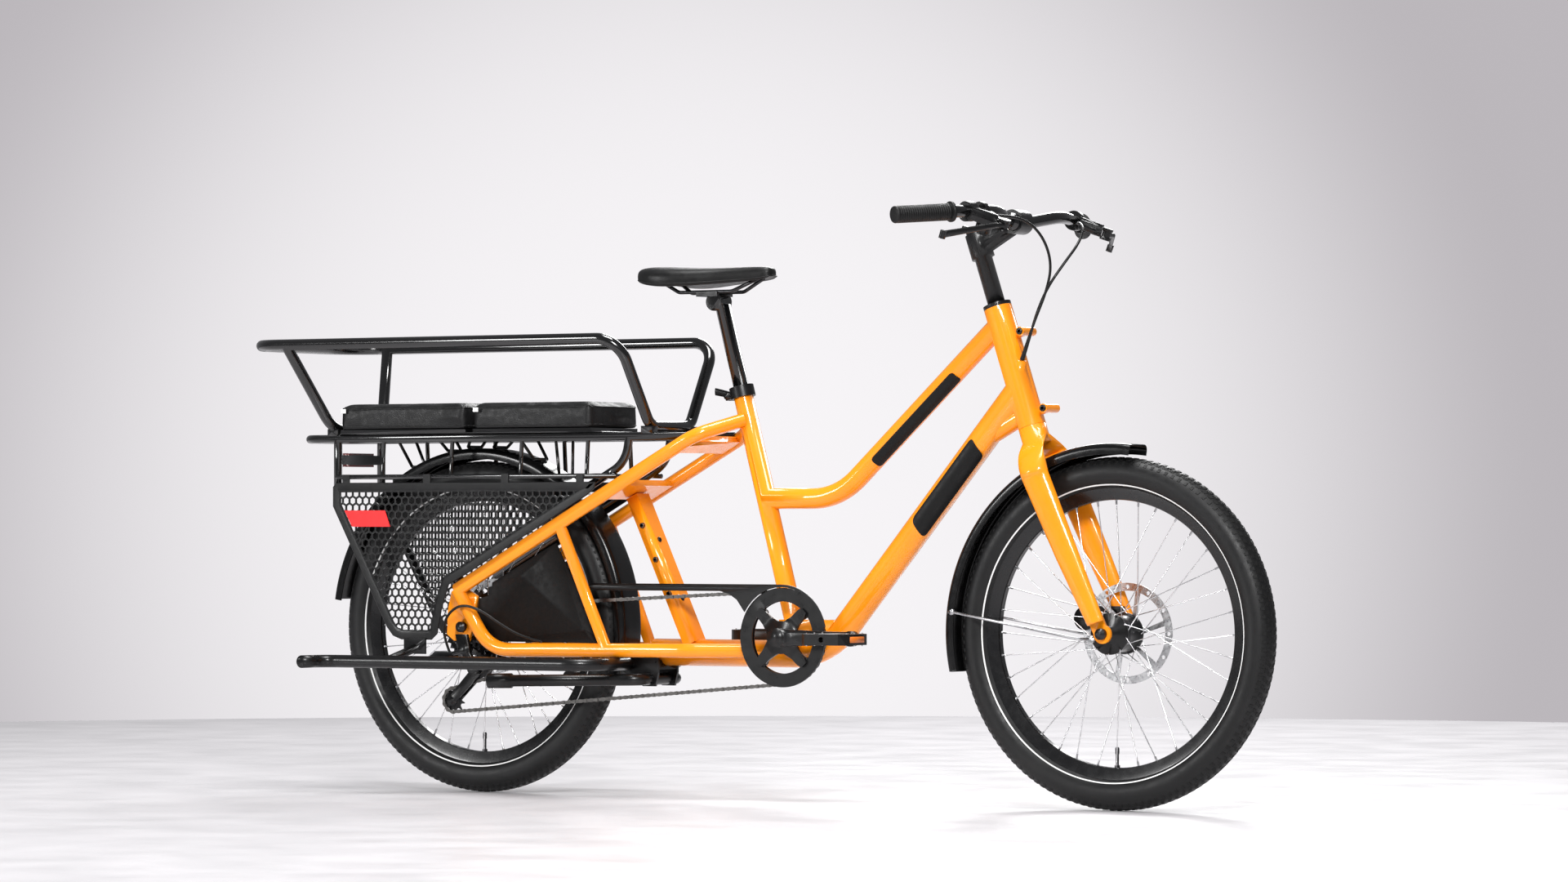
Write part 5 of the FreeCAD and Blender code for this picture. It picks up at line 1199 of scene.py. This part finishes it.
plate_tag("guard_tag", TAG_FACE, [(-884, 534), (-788, 534), (-776, 503), (-866, 503)], 1.6,
          "red_tag")
for label, (rear, _) in PADS.items():
    plate_tag("pad_tag_" + label, PAD_FACE,
              [(rear + 13, PAD_TOP - 7), (rear + 25, PAD_TOP - 7), (rear + 25, PAD_TOP - 15),
               (rear + 13, PAD_TOP - 15)], 1.0, "reflective_white")
print("tags made")

# %% [markdown]
# ## Pedals and lamp
# The pedals get grip pins on both faces, so that a wet sole does not slip, and amber reflectors in
# their ends. The rear lamp gets a red lens over its CAD body. Reflectors and lens are the same
# rounded box as the tabs of the guards.

# %% Pedals and lamp
PIN_FACE, PIN_RADII = 9.6, {0: 2.0, 0.3: 1.7, 2.4: 1.3}
REFLECTOR_X, REFLECTOR_SIZE = 47.4, Vector((2.8, 48, 11))
PEDALS = {"right": Vector((257, -148, 301)), "left": Vector((-83, 148, 301))}
LENS_CENTRE, LENS_SIZE = Vector((-922.05, 0, 631)), Vector((5.1, 74, 21))


def pedal_pin(foot, way):
    """A short stud that stands up from the pedal, or down from it."""
    return bar("pin", [foot + Vector((0, 0, way * reach)) for reach in PIN_RADII],
               list(PIN_RADII.values()), 8)


for side_name, centre in PEDALS.items():
    pins = [pedal_pin(centre + Vector((x, y, way * PIN_FACE)), way)
            for x in (-42, 42) for y in (-27, 0, 27) for way in (-1, 1)]
    new_piece("pedal_pins_" + side_name, pins, "bolt_steel", side_name + "_pedal")
    shields = [rounded_box("shield", centre + Vector((way * REFLECTOR_X, 0, 0)), REFLECTOR_SIZE,
                           0.9) for way in (-1, 1)]
    new_piece("pedal_reflectors_" + side_name, shields, "amber_reflector", side_name + "_pedal")
lens = rounded_box("lamp_lens_cover", LENS_CENTRE, LENS_SIZE, 2)
new_piece("lamp_lens_cover", lens, "lamp_lens", "frame")
print("pedals and lamp dressed")

# %% [markdown]
# ## Floor and lamps
# The bicycle stands on a plain pale floor under four large lamps. Large lamps give soft edges to
# the shadows, and all four aim at the middle of the bicycle.

# %% Floor and lamps
FLOOR_RADIUS, FLOOR_SIDES, FLOOR_GREY = 4.6, 180, (0.60, 0.585, 0.60)
LAMPS = [("key", (3.2, -4.8, 3.6), 330, 1.5), ("fill", (-3.2, -4.6, 2.0), 120, 1.2),
         ("rim", (-1.5, 4.5, 3.6), 240, 2.6), ("top", (0.2, -0.4, 4.6), 190, 1.8)]
AIM = Vector((0, 0, 0.5))


def make_floor():
    made, shader = new_material("floor_grey", FLOOR_GREY, 0.35)
    vary(made, shader, FLOOR_GREY, 0.8, 0.98, 1.02, 0.35)
    data = bpy.data.meshes.new("floor")
    data.from_pydata([(*spot, 0) for spot in arc_of((0, 0), FLOOR_RADIUS, 0, 360,
                                                    FLOOR_SIDES)[:-1]],
                     [], [tuple(range(FLOOR_SIDES))])
    new_piece("floor", data, "floor_grey", None)


def in_scene(name, data, place, heading):
    """A lamp or a camera at a place, looking along a heading."""
    made = bpy.data.objects.new(name, data)
    made.location = place
    made.rotation_euler = heading.to_track_quat("-Z", "Y").to_euler()
    bpy.context.scene.collection.objects.link(made)
    return made


make_floor()
for name, place, power, size in LAMPS:
    light = bpy.data.lights.new(name, "AREA")
    light.energy = power
    light.size = size
    in_scene(name, light, place, AIM - Vector(place))
print("floor and", len(LAMPS), "lamps made")

# %% [markdown]
# ## World
# The world does two jobs. It gives a dim grey light from all sides, and the camera sees it as a
# pale wall that glows softly behind the bicycle.

# %% World
def make_world():
    world = bpy.data.worlds.new("studio")
    world.use_nodes = True
    tree = world.node_tree
    dim = tree.nodes["Background"]
    dim.inputs["Color"].default_value = (0.24, 0.24, 0.25, 1)
    place = add_node(tree, "ShaderNodeTexCoord")
    nearness = add_node(tree, "ShaderNodeVectorMath", {0: place.outputs["Generated"]},
                        operation="DOT_PRODUCT")
    nearness.inputs[1].default_value = (-0.545, 0.838, 0.004)
    glow = add_node(tree, "ShaderNodeMapRange", {"Value": nearness.outputs["Value"]},
                    interpolation_type="SMOOTHSTEP", **{"From Min": 0.9885, "From Max": 1.0})
    wall = add_node(tree, "ShaderNodeMix", data_type="RGBA", A=(0.50, 0.475, 0.50, 1),
                    B=(0.93, 0.91, 0.93, 1))
    tree.links.new(glow.outputs["Result"], wall.inputs["Factor"])
    pale = add_node(tree, "ShaderNodeBackground", {"Color": wall.outputs["Result"]})
    rays = add_node(tree, "ShaderNodeLightPath")
    mix = add_node(tree, "ShaderNodeMixShader", {
        "Fac": rays.outputs["Is Camera Ray"], 1: dim.outputs[0], 2: pale.outputs[0]})
    tree.links.new(mix.outputs[0], tree.nodes["World Output"].inputs["Surface"])
    bpy.context.scene.world = world


make_world()
print("world made")

# %% [markdown]
# ## Camera
# The camera looks from the front right, level with the deck. It stands far away with a long lens,
# so the lines stay nearly parallel.

# %% Camera
YAW, PITCH_UP = 0.562, 0.014
CAMERA_PLACE = (5.7107, -8.97794, 0.5123)
LOOK = Vector((-math.sin(YAW) * math.cos(PITCH_UP), math.cos(YAW) * math.cos(PITCH_UP),
               math.sin(PITCH_UP)))
camera_data = bpy.data.cameras.new("camera")
camera_data.sensor_width = 36
camera_data.lens = 132.56
scene = bpy.context.scene
scene.camera = in_scene("camera", camera_data, CAMERA_PLACE, LOOK)
scene.view_settings.view_transform = "Standard"
print("camera placed")
